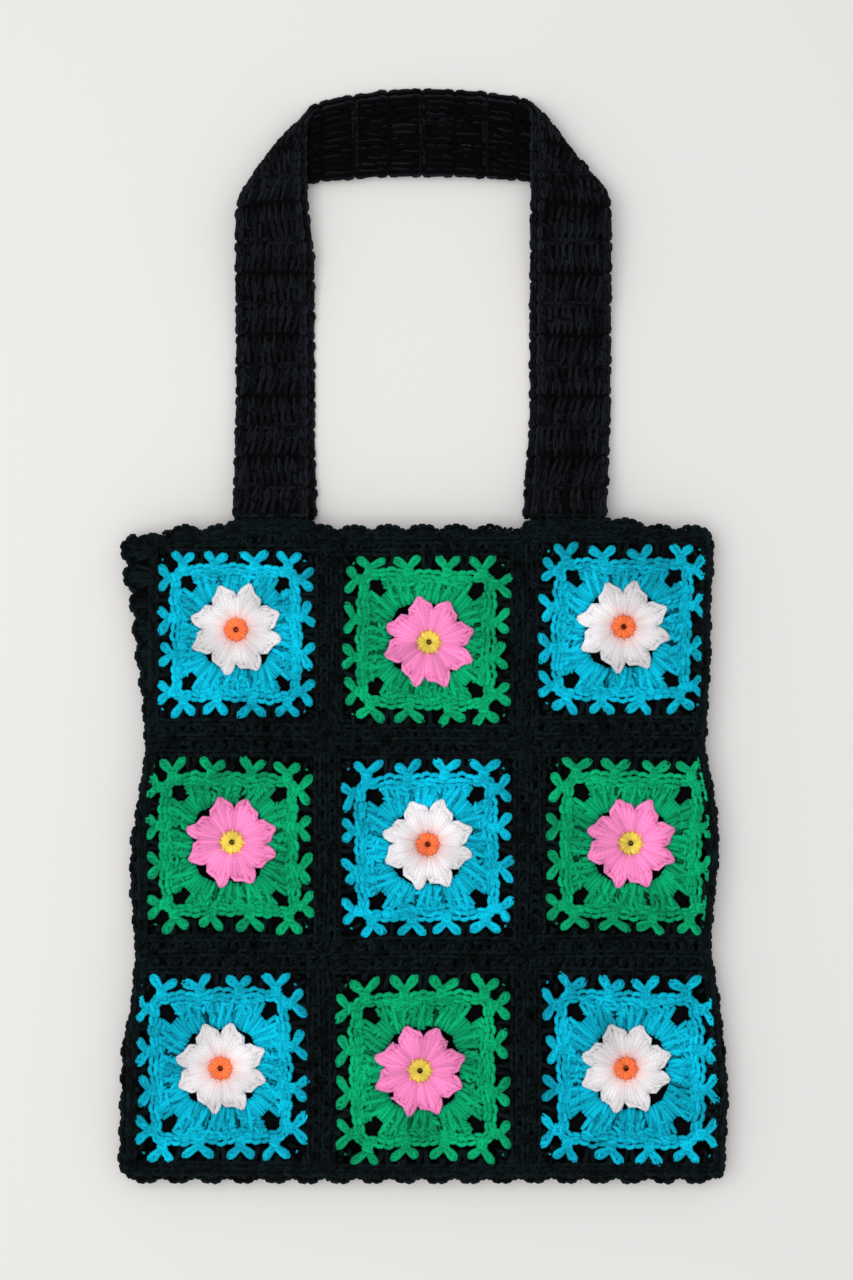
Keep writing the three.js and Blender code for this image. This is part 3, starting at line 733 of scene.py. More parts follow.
def square_frame(strands, place, radius):
    """The chains of one side over the heads of the fans, and round a corner opening."""
    for row, (v, level, width) in enumerate([(EDGE + 0.3, 1.8, 1.3), (EDGE - 1.9, 1.5, 1.1)]):
        ends, inner = 27.6 - row, (-21.5, -11, 0, 11, 21.5)
        line = [(u, v + (1.3 if k % 2 == 0 else -0.5), level) for k, u in enumerate(inner)]
        line = [(-ends, v - 0.5, level), *line, (ends, v - 0.5, level)]
        chain(strands, place(jitter(strands, line, 0.6)), radius * 1.15, 5.2 - 0.6 * row, width=width)
    # strands under the chains at the corner openings, darkened by painted shade
    low = EDGE - 1.4
    for left, right in ((-27, 0.5), (-0.5, 27)):
        under = [(left, low, 0.9), ((left + right) / 2, EDGE - 0.2, 0.9), (right, low, 0.9)]
        strands.add([place(np.array(under))], radius * 1.5, 4, tone=-0.8)
    for shift in (0.5, -1.3):
        near, far, tip = EDGE + 0.3 + shift, EDGE + shift, 35.5 + shift
        corner = [(26.6, far, 1.6), (31.4, near, 1.7), (tip, tip, 1.7), (near, 31.4, 1.7), (far, 26.6, 1.6)]
        chain(strands, place(jitter(strands, corner, 0.3)), radius * 1.05, 5.4, width=0.95)


def v_stitches(strands, place, radius):
    """The four V stitches of one side, each a wrapped stem with two leaf-shaped arms."""
    chance, count = strands.chance, len(V_PLACES)
    swing = np.radians(chance.uniform(-9, 9, count))
    roots = np.array([(u, EDGE - 1.0, 1.9) for u in V_PLACES])
    roots = roots + (1, 0, 0) * chance.uniform(-1.1, 1.1, (count, 1))
    ahead = np.stack([-np.sin(swing), np.cos(swing), np.zeros(count)], -1)
    across = np.stack([np.cos(swing), np.sin(swing), np.zeros(count)], -1)
    forks = roots + ahead * chance.uniform(6.0, 7.4, (count, 1))
    for shift in (-1.9, 0.0, 1.9):
        middle = (roots + forks) / 2 + across * shift * 0.85 + (0, 0, 0.25)
        stem = through(roots + across * shift * 1.3, middle, forks + across * shift)
        strands.add(place(stem), radius * 1.1, 3, taper=(0.95, 1.05, 0.9))
    for share, lean in ((0.25, 0.9), (0.75, -0.9)):
        centre = roots + (forks - roots) * share
        left = centre - across * 3.0 - ahead * lean - (0, 0, 0.2)
        right = centre + across * 3.0 + ahead * lean - (0, 0, 0.2)
        band = through(left, centre + (0, 0, 1.3), right)
        strands.add(place(band), radius * 0.95, 3, taper=(0.8, 1, 0.8))
    for hand in (-1, 1):
        spread = swing - hand * np.radians(chance.uniform(40, 68, count))
        reach = chance.uniform(7.6, 10.4, (count, 1))
        heading = np.stack([-np.sin(spread), np.cos(spread), np.zeros(count)], -1)
        ends = forks + heading * reach - (0, 0, 0.2)
        ends[:, 1] = np.minimum(ends[:, 1], V_REACH)
        ends[0, 0], ends[-1, 0] = max(ends[0, 0], -V_CORNER), min(ends[-1, 0], V_CORNER)
        width = chance.uniform(2.4, 3.5, (count, 1))
        loops(strands, place(forks - ahead * 1.4), place(ends), radius * 1.12, width)


def square_strands(strands, radius):
    """The coloured round of a granny square: twelve fans of tall stitches and sixteen V stitches."""
    for side in range(4):
        def place(points, angle=side * math.pi / 2):
            return turned(points, angle)

        square_fans(strands, place, radius)
        square_frame(strands, place, radius)
        v_stitches(strands, place, radius)
        # the end of the yarn, which shows as a dot beside the corner
        dot = np.array([(42.8, 43.4, 2.2), (43.5, 43.2, 2.7), (44.2, 42.8, 2.2)])
        dot = dot + strands.chance.uniform(-0.8, 0.8, 3)
        strands.add([place(dot)], radius * 0.5, 3, tone=-1.6)


class CrochetSquares(bpy.types.Operator):
    """Crochets the eighteen coloured squares"""

    bl_idname = "crochet_bag.squares"
    bl_label = "Squares"

    def execute(self, context):
        sizes = context.scene.bag_sizes
        for panel, row, column in every_square():
            colour_name = "turquoise" if (row + column) % 2 == 0 else "green"
            strands = panel.strands(row * 10 + column)
            square_strands(strands, sizes.square / MM)
            strands.moved(panel.on_square(row, column))
            finish_yarn(strands, f"{panel.name}_square_r{row}c{column}", colour_name)
        return {"FINISHED"}


# the flowers
# which way each petal's tip points, and the first notch between two petals (degrees)
PETAL_TIPS = (18.5, 69.5, 108.5, 163.0, 202.0, 256.5, 294.0, 341.0)
FIRST_NOTCH = -4.0
PETAL = 45
SHOULDER = 22.2  # how far a petal reaches beside its tip
PETAL_ROOT = 6.2
# how each flower of a panel is turned, row by row (degrees)
FLOWER_TURNS = (3, -4, 5, 0, 2, -3, 4, -2, 1)
SEAT = KNIT + 0.4  # the flowers' lowest strands, over the inner face


def polar(radius, degrees, height):
    """A point round the middle of a flower, its height from the flower's seat."""
    angle = math.radians(degrees)
    return (radius * math.cos(angle), radius * math.sin(angle), SEAT + height)


def flower_strands(strands, radius):
    """Eight puffed petals, each with a pointed tip that leans to one side."""
    chance = strands.chance
    for petal, tip in enumerate(PETAL_TIPS):
        notch = FIRST_NOTCH + PETAL * petal
        tip = tip + chance.uniform(-2.5, 2.5)
        reach = 27.0 + chance.uniform(-0.8, 0.9)

        def outline(turn):
            """How far a petal reaches in one direction: low at its notches, far at its tip."""
            beside_notch = min(turn - notch, notch + PETAL - turn) / 8
            peak = math.exp(-((abs(turn - tip) / 6.0) ** 1.6))
            return SHOULDER + (reach - SHOULDER) * peak - 4.2 * max(1 - beside_notch, 0) ** 1.3

        fill = []
        for k in range(6):
            share = (k + 0.5) / 6
            turn = notch + PETAL * share
            bottom = notch + PETAL * (0.5 + (share - 0.5) * 0.9)
            wave = chance.uniform(-1.6, 1.6)
            puff = 0.8 * math.sin(math.pi * share) + chance.uniform(-0.25, 0.25)
            end = outline(turn) - 1.1
            run = end - PETAL_ROOT
            fill.append(
                [
                    polar(PETAL_ROOT, bottom, 0.4),
                    polar(PETAL_ROOT + run * 0.36, bottom * 0.6 + turn * 0.4 + wave, 0.9 + puff),
                    polar(PETAL_ROOT + run * 0.7, turn - wave * 0.6, 1.0 + puff),
                    polar(end, turn, 0.5),
                ]
            )
        # the petals' strands take painted light from the eye where they start
        strands.add(fill, radius * 1.28, 5, taper=(0.6, 1.0, 1.15, 1.15, 0.8), blush=1.0)
        for k in range(3):  # short stitches over the puffs, near the tip
            at, turn = chance.uniform(17.0, 21.0), notch + chance.uniform(8, 37)
            swing = chance.uniform(-7, 7)
            stitch = [(at - 2.2, turn - swing, 1.6), (at, turn, 2.4), (at + 2.0, turn + swing, 1.3)]
            strands.add([[polar(*point) for point in stitch]], radius * 0.85, 3, taper=(0.6, 1, 0.6))
        for lean in (-8.0, 8.0):
            horn = [(18.0, lean, 1.0), (22.6, lean * 0.5, 1.1), (reach - 0.6, lean * 0.1, 0.8)]
            horn = [polar(far, tip + aside, height) for far, aside, height in horn]
            strands.add([horn], radius, 4, taper=(1.1, 1.1, 0.95, 0.5))
        for start, end in ((notch + 2.5, tip - 2.0), (notch + PETAL - 2.5, tip + 2.0)):
            rim = [polar(outline(turn) - 0.8, turn, 0.7) for turn in np.linspace(start, end, 5)]
            strands.add([rim], radius * 0.95, 4, taper=(0.8, 1.1, 1.1, 0.75))
        # a darker strand in each notch: painted shade between the petals, with painted light from the eye
        # near its start
        crack = [polar(far, notch, height) for far, height in ((6.5, 0.2), (12, 0.6), (16.8, 0.2))]
        strands.add([crack], radius * 1.2, 4, tone=-0.5, blush=1.0)


def eye_strands(strands, radius):
    """The eye of a flower: a ring of short fat stitches round a pinhole, with fine points outside."""
    spokes, points = [], []
    for k in range(14):
        turn = k * 360 / 14 + strands.chance.uniform(-4, 4)
        spokes.append([polar(1.9, turn, 0.8), polar(4.2, turn + 5, 1.5), polar(6.2, turn + 8, 0.9)])
    strands.add(spokes, radius * 1.05, 4, taper=(0.8, 1.0, 1.2, 1.0))
    # a nearly black strand down in the pinhole: painted shade of the hole
    pinhole = [polar(1.8, 20, -2.0), polar(0, 0, -2.2), polar(1.8, 200, -2.0)]
    strands.add([pinhole], radius, 3, tone=-4.2)
    for petal in range(8):
        turn = FIRST_NOTCH + PETAL * petal + strands.chance.uniform(-3, 3)
        points.append([polar(5.8, turn, 1.1), polar(7.4, turn, 1.5), polar(8.9, turn, 1.45)])
    strands.add(points, radius * 0.3, 3, taper=(2.0, 1, 0.4))


class CrochetFlowers(bpy.types.Operator):
    """Crochets the eighteen flowers and their eyes"""

    bl_idname = "crochet_bag.flowers"
    bl_label = "Flowers"

    def execute(self, context):
        sizes = context.scene.bag_sizes
        for panel, row, column in every_square():
            white = (row + column) % 2 == 0
            turn = math.radians(FLOWER_TURNS[(row - 1) * 3 + column - 1])
            for part, colour_name, maker in (
                ("flower", "white" if white else "pink", flower_strands),
                ("eye", "orange" if white else "yellow", eye_strands),
            ):
                strands = panel.strands(200 + row * 10 + column)
                maker(strands, sizes.flower / MM)
                strands.moved(lambda points: turned(points, turn))
                strands.moved(panel.on_square(row, column, stretch=False))
                finish_yarn(strands, f"{panel.name}_{part}_r{row}c{column}", colour_name)
        return {"FINISHED"}


# the nets
VALLEYS = (-21.8, 0, 21.8)  # between the V stitches of a side
# how high the crests of the mouth stand (mm) at places from left to right
MOUTH_TOP = 69.0
MOUTH = (
    (-172, 46.0), (-168, 53.0), (-162, 57.5), (-150, 58.3), (-141, 62.8), (-110, 63.4), (-107, MOUTH_TOP),
    (-62, MOUTH_TOP), (-59, 63.6), (0, 63.2), (59, 63.6), (62, MOUTH_TOP), (107, MOUTH_TOP), (110, 67.6),
    (127, 66.8), (134, 63.4), (158, 62.8), (166, 60.4), (172, 52.0),
)
STRAP_SPAN = 169.0  # between the middles of a strap's two legs
SEAT_HALF = 25  # half the stretch of mouth that a strap's leg covers


def mouth_line(x):
    """How high the crests of the mouth stand at x: it drops to both corners and rises to the straps."""
    xs, ys = zip(*MOUTH)
    return np.interp(x, xs, ys)


class Net:
    """The black net that joins the nine squares of a panel, with the band along the mouth."""

    def __init__(self, strands, panel, radius):
        self.strands, self.panel, self.radius = strands, panel, radius
        self.boxes = panel.boxes

    def lay(self, points):
        """Puts points on the panel, and keeps them inside the edging and under the mouth."""
        points = np.asarray(points, float).copy()
        x, y = points[..., 0], points[..., 1]
        points[..., 0] = np.clip(x, rim_x(-1, y) + 3.4, rim_x(1, y) - 3.4)
        points[..., 1] = np.minimum(y, mouth_line(x) - 1.4)
        return self.panel.lay(points)

    def post(self, foot, head, level, fat=1.0):
        """One post from foot to head."""
        ends = (self.lay(np.append(place, level)) for place in (foot, head))
        posts(self.strands, *ends, self.radius * fat, steps=4, wrap=False)

    def valleys(self, start, end, outward, reach, level=1.2):
        """Posts that come out of the valleys between the V stitches of a square's side.

        start and end are the side's corners over the V tips, and outward the way to the join's middle.
        """
        start, end, outward = (np.asarray(p, float) for p in (start, end, outward))
        way = (end - start) / SIZE
        middle = (start + end) / 2
        for u in VALLEYS:
            foot = middle + way * u - outward * 8.5
            for lean in (-2.2, 2.2):
                head = middle + way * (u + lean * 1.3) + outward * reach
                self.post(foot + way * lean * 0.4, head, level)
        for u in V_PLACES:
            foot = middle + way * u - outward * 3.2
            self.post(foot, middle + way * u + outward * reach, level, 1.3)

    def post_row(self, start, end, lean, height, pitch=4.7, level=1.4):
        """Posts that stand side by side from one point to another, all as long as height says."""
        chance = self.strands.chance
        start, end, height = (np.asarray(p, float) for p in (start, end, height))
        count = max(int(round(np.linalg.norm(end - start) / pitch)), 2)
        share = (np.arange(count) + 0.5) / count
        foot = start + (end - start) * share[:, None]
        way = (end - start) / np.linalg.norm(end - start)
        foot = foot + way * chance.uniform(-1.2, 1.2, (count, 1))
        swing = chance.uniform(-2.2, 2.2, (count, 1)) + lean
        head = foot + height * chance.uniform(0.9, 1.1, (count, 1)) + way * swing
        levels = np.full((count, 1), level)
        base, top = (self.lay(np.hstack([ends, levels])) for ends in (foot, head))
        posts(self.strands, base, top, self.radius * 1.05, spread=1.05, turns=1.4, steps=4, wrap=False)

    def braid(self, points, pitch=5.2, level=2.0, width=1.2):
        """A row of chain links through some points of the plane."""
        points = np.asarray(points, float)
        flat = np.hstack([points, np.full((len(points), 1), level)])
        chain(self.strands, self.lay(flat), self.radius, pitch, width=width, steps=3)

    def strew(self, low, high, count, lean):
        """Knots over a join. The back, which nobody sees, goes without."""
        if self.panel.out > 0:
            knots(self.strands, self.lay, low, high, count, self.radius * 1.1, lean, spread=40, level=2.1)

    def corner_knots(self):
        """Knots under the corners of every front square."""
        for low, high in self.boxes.values():
            for x, inward_x in ((low[0], 1), (high[0], -1)):
                for y, inward_y in ((low[1], 1), (high[1], -1)):
                    ends = np.array([(x, y), (x + 9.5 * inward_x, y + 9.5 * inward_y)])
                    knots(self.strands, self.lay, ends.min(0), ends.max(0), 6, self.radius,
                          lean=45 * inward_x * inward_y, spread=50, level=0.9)

    def column_join(self, row, column):
        """The join between a square and the next one to the right."""
        left, right = self.boxes[row, column], self.boxes[row, column + 1]
        x0, x1 = left[1][0], right[0][0]
        y0, y1 = (left[0][1] + right[0][1]) / 2, (left[1][1] + right[1][1]) / 2
        half = (x1 - x0) / 2
        for x, out, box in ((x0, 1.0, left), (x1, -1.0, right)):
            self.valleys((x, box[0][1]), (x, box[1][1]), (out, 0), 2.0)
            self.braid([(x + out * 2.2, y0 - 4), (x + out * 1.9, (y0 + y1) / 2), (x + out * 2.2, y1 + 4)])
            self.post_row((x + out * 3.2, y0), (x + out * 3.2, y1), 0.6 * out, (out * (half - 4.4), 0))
        mid = (x0 + x1) / 2
        line = [(mid - 0.8, y0 - 4), (mid + 0.7, (y0 + y1) / 2), (mid - 0.6, y1 + 4)]
        self.braid(line, level=2.3, pitch=5.6)
        self.strew((x0 + 1, y0 - 5), (x1 - 1, y1 + 5), 100, 20)
        if row == ROWS[-1]:  # closes the join towards the hem
            self.strew((x0 - 3, y0 - 6), (x1 + 3, y0 + 2), 24, 90)

    def row_join(self, row, column):
        """The join between a square and the one below."""
        upper, lower = self.boxes[row, column], self.boxes[row + 1, column]
        y0, y1 = lower[1][1], upper[0][1]
        x0, x1 = (lower[0][0] + upper[0][0]) / 2, (lower[1][0] + upper[1][0]) / 2
        half = (y1 - y0) / 2
        for y, out, box in ((y0, 1.0, lower), (y1, -1.0, upper)):
            self.valleys((box[0][0], y), (box[1][0], y), (0, out), 2.4)
            self.braid([(x0 - 4, y + out * 2.6), ((x0 + x1) / 2, y + out * 2.3), (x1 + 4, y + out * 2.6)])
            self.post_row((x0, y + out * 3.8), (x1, y + out * 3.8), 0.8, (0, out * (half - 5.4)))
        mid = (y0 + y1) / 2
        self.braid([(x0 - 4, mid), ((x0 + x1) / 2, mid + 0.9), (x1 + 4, mid)], level=2.3, pitch=5.6)
        self.strew((x0 - 6, y0 + 1), (x1 + 6, y1 - 1), 138, 70)

    def crossing(self, row, column):
        """A star of posts over the meeting of four squares, with a ring of chain round its middle."""
        boxes = self.boxes
        corner = np.array(
            [
                (boxes[row, column][1][0] + boxes[row, column + 1][0][0]) / 2,
                (boxes[row + 1, column][1][1] + boxes[row, column][0][1]) / 2,
            ]
        )
        for k in range(12):
            angle = math.radians(30 * k + self.strands.chance.uniform(-6, 6))
            ray = np.array([math.cos(angle), math.sin(angle)])
            foot, head = corner + ray * 2.0, corner + ray * np.array([9.6, 12.4])
            foot, head = self.lay(np.append(foot, 1.9)), self.lay(np.append(head, 1.5))
            posts(self.strands, foot, head, self.radius, steps=4)
        turns = np.linspace(0, 2 * math.pi, 9)
        self.braid([corner + 2.6 * np.array([math.cos(a), math.sin(a)]) for a in turns], pitch=3.6, level=2.4)

    def side_rim(self, row, column, out):
        """The rim beside an outer square."""
        low, high = self.boxes[row, column]
        x, middle = (low if out < 0 else high)[0], (low[1] + high[1]) / 2
        self.valleys((x, low[1]), (x, high[1]), (out, 0), 0.6)
        self.braid([(x + out * 0.6, low[1] - 8), (x + out * 0.4, middle), (x + out * 0.6, high[1] + 8)])

    def hem(self, column):
        """The rim below a square of the last row."""
        low, high = self.boxes[ROWS[-1], column]
        left, right, bottom = low[0], high[0], low[1]
        self.valleys((left, bottom), (right, bottom), (0, -1.0), 1.5)
        self.braid([(left - 8, bottom - 2.0), ((left + right) / 2, bottom - 1.8), (right + 8, bottom - 2.0)])
        self.braid([(left - 8, bottom - 3.6), (right + 8, bottom - 3.6)], level=1.0, width=1.6)
        self.post_row((left - 7, bottom - 2.6), (right + 7, bottom - 2.6), 0.3, (0, -4.4))
        self.strew((left - 5, bottom - 7), (right + 5, bottom - 1), 40, 90)
        if self.panel.out < 0:
            for y in (bottom + 0.4, bottom - 1.2):
                self.braid([(left - 8, y), (right + 8, y)], level=1.2, width=1.9)

    def mouth_band(self):
        """The black band above the top row: posts, two braids, and shells along the mouth."""
        left, right = self.panel.low[0] + 3.5, self.panel.high[0] - 3.5
        for column in COLUMNS:
            low, high = self.boxes[1, column]
            top = high[1]
            self.valleys((low[0], top), (high[0], top), (0, 1.0), 1.5)
            x0, x1 = low[0] - 8.4, high[0] + 8.4
            self.braid([(x0, top + 1.6), (x1, top + 1.6)])
            self.post_row((x0, top + 2.0), (x1, top + 2.0), 0.8, (0, 54.9 - top), pitch=4.4)
            self.strew((x0, top + 1.5), (x1, 60.0), 62, 90)
        spots = np.linspace(left, right, 60)
        mouth = mouth_line(spots)
        self.braid(np.stack([spots, mouth - 8.6], -1), level=2.3, pitch=4.9)
        self.braid(np.stack([spots, mouth - 5.6], -1), level=2.1, pitch=4.9, width=1.5)
        count = int(round((right - left) / 19.4))
        for k in range(count):
            x = left + (k + 0.5) * (right - left) / count
            if abs(abs(x) - STRAP_SPAN / 2) >= SEAT_HALF:
                self.mouth_shell(x)
        for middle in (-STRAP_SPAN / 2, STRAP_SPAN / 2):
            for drop, ends in ((1.6, 21), (4.2, SEAT_HALF), (6.8, SEAT_HALF), (9.4, SEAT_HALF)):
                line = [(middle + u, MOUTH_TOP - drop) for u in (-ends, -ends / 2, 0, ends / 2, ends)]
                self.braid(line, level=1.9, pitch=4.6, width=1.5)
            self.strew((middle - 21, 57.0), (middle + 21, 66.0), 40, 90)

    def mouth_shell(self, x):
        """A little fan that stands on the mouth and gives it a scallop."""
        foot = np.array([x, float(mouth_line(x)) - 1.4 - 6.4])
        size = self.strands.chance.uniform(0.92, 1.04)
        leans = np.linspace(-1, 1, 7)
        for lean in leans:
            head = foot + np.array((lean * 8.6, (6.2 - 3.6 * lean * lean) * size))
            ends = (self.panel.lay(np.append(place, 1.6)) for place in (foot + (lean * 4.2, 0), head))
            posts(self.strands, *ends, self.radius, steps=3, wrap=False)
        arc = [foot + np.array((lean * 9.7, (6.4 - 4.6 * lean * lean) * size)) for lean in leans]
        self.braid(arc, pitch=4.6, level=1.7, width=1.3)

    def crochet(self):
        """Works the whole net."""
        inner_columns, inner_rows = COLUMNS[:-1], ROWS[:-1]
        if self.panel.out > 0:
            self.corner_knots()
        for row in ROWS:
            for column in inner_columns:
                self.column_join(row, column)
        for row in inner_rows:
            for column in COLUMNS:
                self.row_join(row, column)
        for row in inner_rows:
            for column in inner_columns:
                self.crossing(row, column)
        for row in ROWS:
            for column, out in ((COLUMNS[0], -1.0), (COLUMNS[-1], 1.0)):
                self.side_rim(row, column, out)
        for column in COLUMNS:
            self.hem(column)
        self.mouth_band()


class CrochetNets(bpy.types.Operator):
    """Crochets the black nets that join the squares of the front and of the back"""

    bl_idname = "crochet_bag.nets"
    bl_label = "Black Nets"

    def execute(self, context):
        sizes = context.scene.bag_sizes
        for seed, panel in enumerate(map(Panel, PANELS)):
            sides = (FINE if panel.out > 0 else PLAIN)[0]
            strands = Strands(400 + seed, sides, 3)
            Net(strands, panel, sizes.join / MM).crochet()
            finish_yarn(strands, f"{panel.name}_net", "black")
        return {"FINISHED"}


# the edging
# height and reach of the crests of the edging on the left (-1) and right (1), from the top down (mm)
SIDE_RIMS = {
    -1: (
        (58, -164.0), (55, -168.0), (51, -170.2), (44, -171.4), (33, -168.8), (22, -166.4), (13, -164.2),
        (-8, -162.9), (-36, -158.6), (-65, -156.5), (-93, -160.7), (-122, -165.7), (-150, -165.0),
        (-179, -162.2), (-207, -164.3), (-236, -169.8), (-286, -171.6), (-301, -172.0),
    ),
    1: (
        (60, 166.5), (49, 168.4), (21, 166.6), (-8, 166.4), (-36, 164.9), (-65, 163.4), (-93, 169.1),
        (-122, 171.3), (-150, 168.4), (-179, 166.3), (-207, 171.3), (-236, 174.1), (-264, 176.3),
        (-301, 174.4),
    ),
}
SIDE_TOPS = ((-1, 57.0), (1, 60.0))  # where the edging ends on each side
SIDE_SHELL, HEM_SHELL = 15.4, 18.2  # pitch of the shells
SEAM_GAP = 1.3  # from the seam to the strands of either panel


def rim_x(side, y):
    """How far the crests of the edging reach at a height, on the left (-1) or right (1)."""
    ys, xs = zip(*reversed(SIDE_RIMS[side]))
    return np.interp(y, ys, xs)


def edging_strands(strands, radius):
    """The folded edging: shells that stand on the rims of front and back and meet at the seam."""
    chance = strands.chance
    panels = front, back = Panel("front"), Panel("back")
    lowest = box_mm("edging")[0][1]
    seam = (back.base + front.base + KNIT) / 2

    def frame_x(side, y):
        """Where the edge of the nets runs."""
        keys, xs = [], []
        for row in ROWS:
            box = front.boxes[row, 1 if side < 0 else 3]
            keys += [box[1][1], box[0][1]]
            xs += [(box[0] if side < 0 else box[1])[0] * side + 1.4] * 2
        keys, xs = keys[::-1], xs[::-1]
        return side * min(float(np.interp(y, keys, xs)), rim_x(side, y) * side - 4.6)

    def put(x, y, lift, panel):
        """A point over a panel, or beside the seam where it has no lift."""
        if lift:
            return panel.lay(np.array([x, y, lift]))
        return np.array([x, y, seam + SEAM_GAP * panel.out])

    def shell(place, along, pitch, width):
        """The posts of one shell, two strands each. width(lean) is how far it reaches."""
        size = pitch * chance.uniform(0.92, 1.04)
        for panel in panels:
            for lean in np.linspace(-1, 1, 4):
                foot = place(along + lean * size * 0.12, -1.8, 1.6, panel)
                far = width(lean) - 1.6 + chance.uniform(-0.3, 0.3)
                head = place(along + lean * size * 0.36, far, 0.0, panel)
                middle = foot * 0.45 + head * 0.55
                middle[2] = foot[2] * 0.8 + head[2] * 0.2
                for shift in (-0.75, 0.75):
                    step = place(along + shift, 0, 0, panel) - place(along, 0, 0, panel)
                    step[2] = 0
                    path = jitter(strands, [[foot + step, middle + step * 1.1, head + step]], 0.3)
                    strands.add(path, radius * 0.95, 4, taper=(0.8, 1.0, 1.0, 0.8))

    def shells(place, length, pitch, reach, dip=0.34):
        """Shells along a rim, with two chains over their heads.

        place(along, out, lift, panel) puts a point, reach(along) is the rim's width, and dip is how much
        of it is lost between two shells.
        """
        count = int(round(length / pitch))
        pitch = length / count
        for k in range(count):
            along = (k + 0.5) * pitch

            def width(lean, along=along):
                return reach(along) * (1 - dip * lean * lean)

            shell(place, along, pitch, width)
            for lift, inset in ((1.3, 2.3), (-1.1, 1.7)):
                line = []
                for lean in np.linspace(-1, 1, 7):
                    point = place(along + lean * pitch * 0.52, max(width(lean) - inset, 1.0), 0.0, front)
                    point[2] = seam + lift
                    line.append(point)
                chain(strands, jitter(strands, line, 0.3), radius * 1.25, 5.2)

    def rim_chains(xs, ys):
        """A chain on each panel, along the edge of its net."""
        flat = np.stack([xs, ys, np.full_like(xs, 1.9)], -1)
        for panel in panels:
            chain(strands, panel.lay(flat), radius * 1.1, 5.0, width=1.3, steps=3)

    bottom = lowest + 6.0
    for side, top in SIDE_TOPS:
        def place(along, out, lift, panel, side=side):
            y = bottom + along
            return put(frame_x(side, y) + side * out, y, lift, panel)

        def reach(along, side=side):
            return abs(rim_x(side, bottom + along) - frame_x(side, bottom + along))

        shells(place, top - bottom, SIDE_SHELL, reach)
        ys = np.linspace(bottom - 3, top + 2, 60)
        rim_chains(np.array([frame_x(side, y) for y in ys]), ys)

    left, right = rim_x(-1, lowest) + 6.5, rim_x(1, lowest) - 6.5
    hem = front.low[1] + 0.6

    def hem_place(along, out, lift, panel):
        return put(left + along, hem - out, lift, panel)

    shells(hem_place, right - left, HEM_SHELL, lambda along: hem - lowest + 0.6, dip=0.62)
    xs = np.linspace(left - 2, right + 2, 60)
    rim_chains(xs, np.full_like(xs, hem))


class CrochetEdging(bpy.types.Operator):
    """Crochets the edging that joins front and back round the sides and the bottom"""

    bl_idname = "crochet_bag.edging"
    bl_label = "Edging"

    def execute(self, context):
        strands = Strands(500)
        edging_strands(strands, context.scene.bag_sizes.join / MM)
        finish_yarn(strands, "edging", "black")
        return {"FINISHED"}


# the straps
STRAP_WIDTH = 43.0
STRAP = 3.4  # thickness
STRAP_SEAT = 0.4  # between the two straps
STRAP_RISE = 244.0  # from the mouth to the upper rim of the crown
STRAP_INSET = 4.5  # how far the back strap's legs lie inside the front strap's
STRAP_START = 0.35  # from the mouth to the end of a strap
FLOOR_SEAT = 0.3
FOLD_RADIUS = 2.8
FOLD_RUN = 2.0
OUTER_RADIUS = FOLD_RADIUS + STRAP + STRAP_SEAT
SOLID_ARC = 10.0  # rise of the crown in the solids
CROWN_ARC, CROWN_UNDER = 12.2, 9.0  # and here, along its upper and its lower rim
DIAGONAL = 1 / math.sqrt(2)
# shares of a leg's run, and how much of the mouth's, the floor's and the fold's height counts there
LEG_SHARES = np.array([0, 0.08, 0.18, 0.3, 0.58, 0.72, 0.88, 1])
LEG_MOUTH = np.array([1, 0.72, 0.25, 0, 0, 0, 0, 0])
LEG_FLOOR = np.array([0, 0.28, 0.75, 1, 1, 0.68, 0.15, 0])
LEG_FOLD = np.array([0, 0, 0, 0, 0, 0.32, 0.85, 1])
# how far the inner edges draw in (mm) at heights over the mouth
DRAWN_LEFT = ((0, 1.2), (45, 3.8), (150, 4.3), (182, 8.0))
DRAWN_RIGHT = ((0, 1.2), (45, 2.6), (182, 2.8))


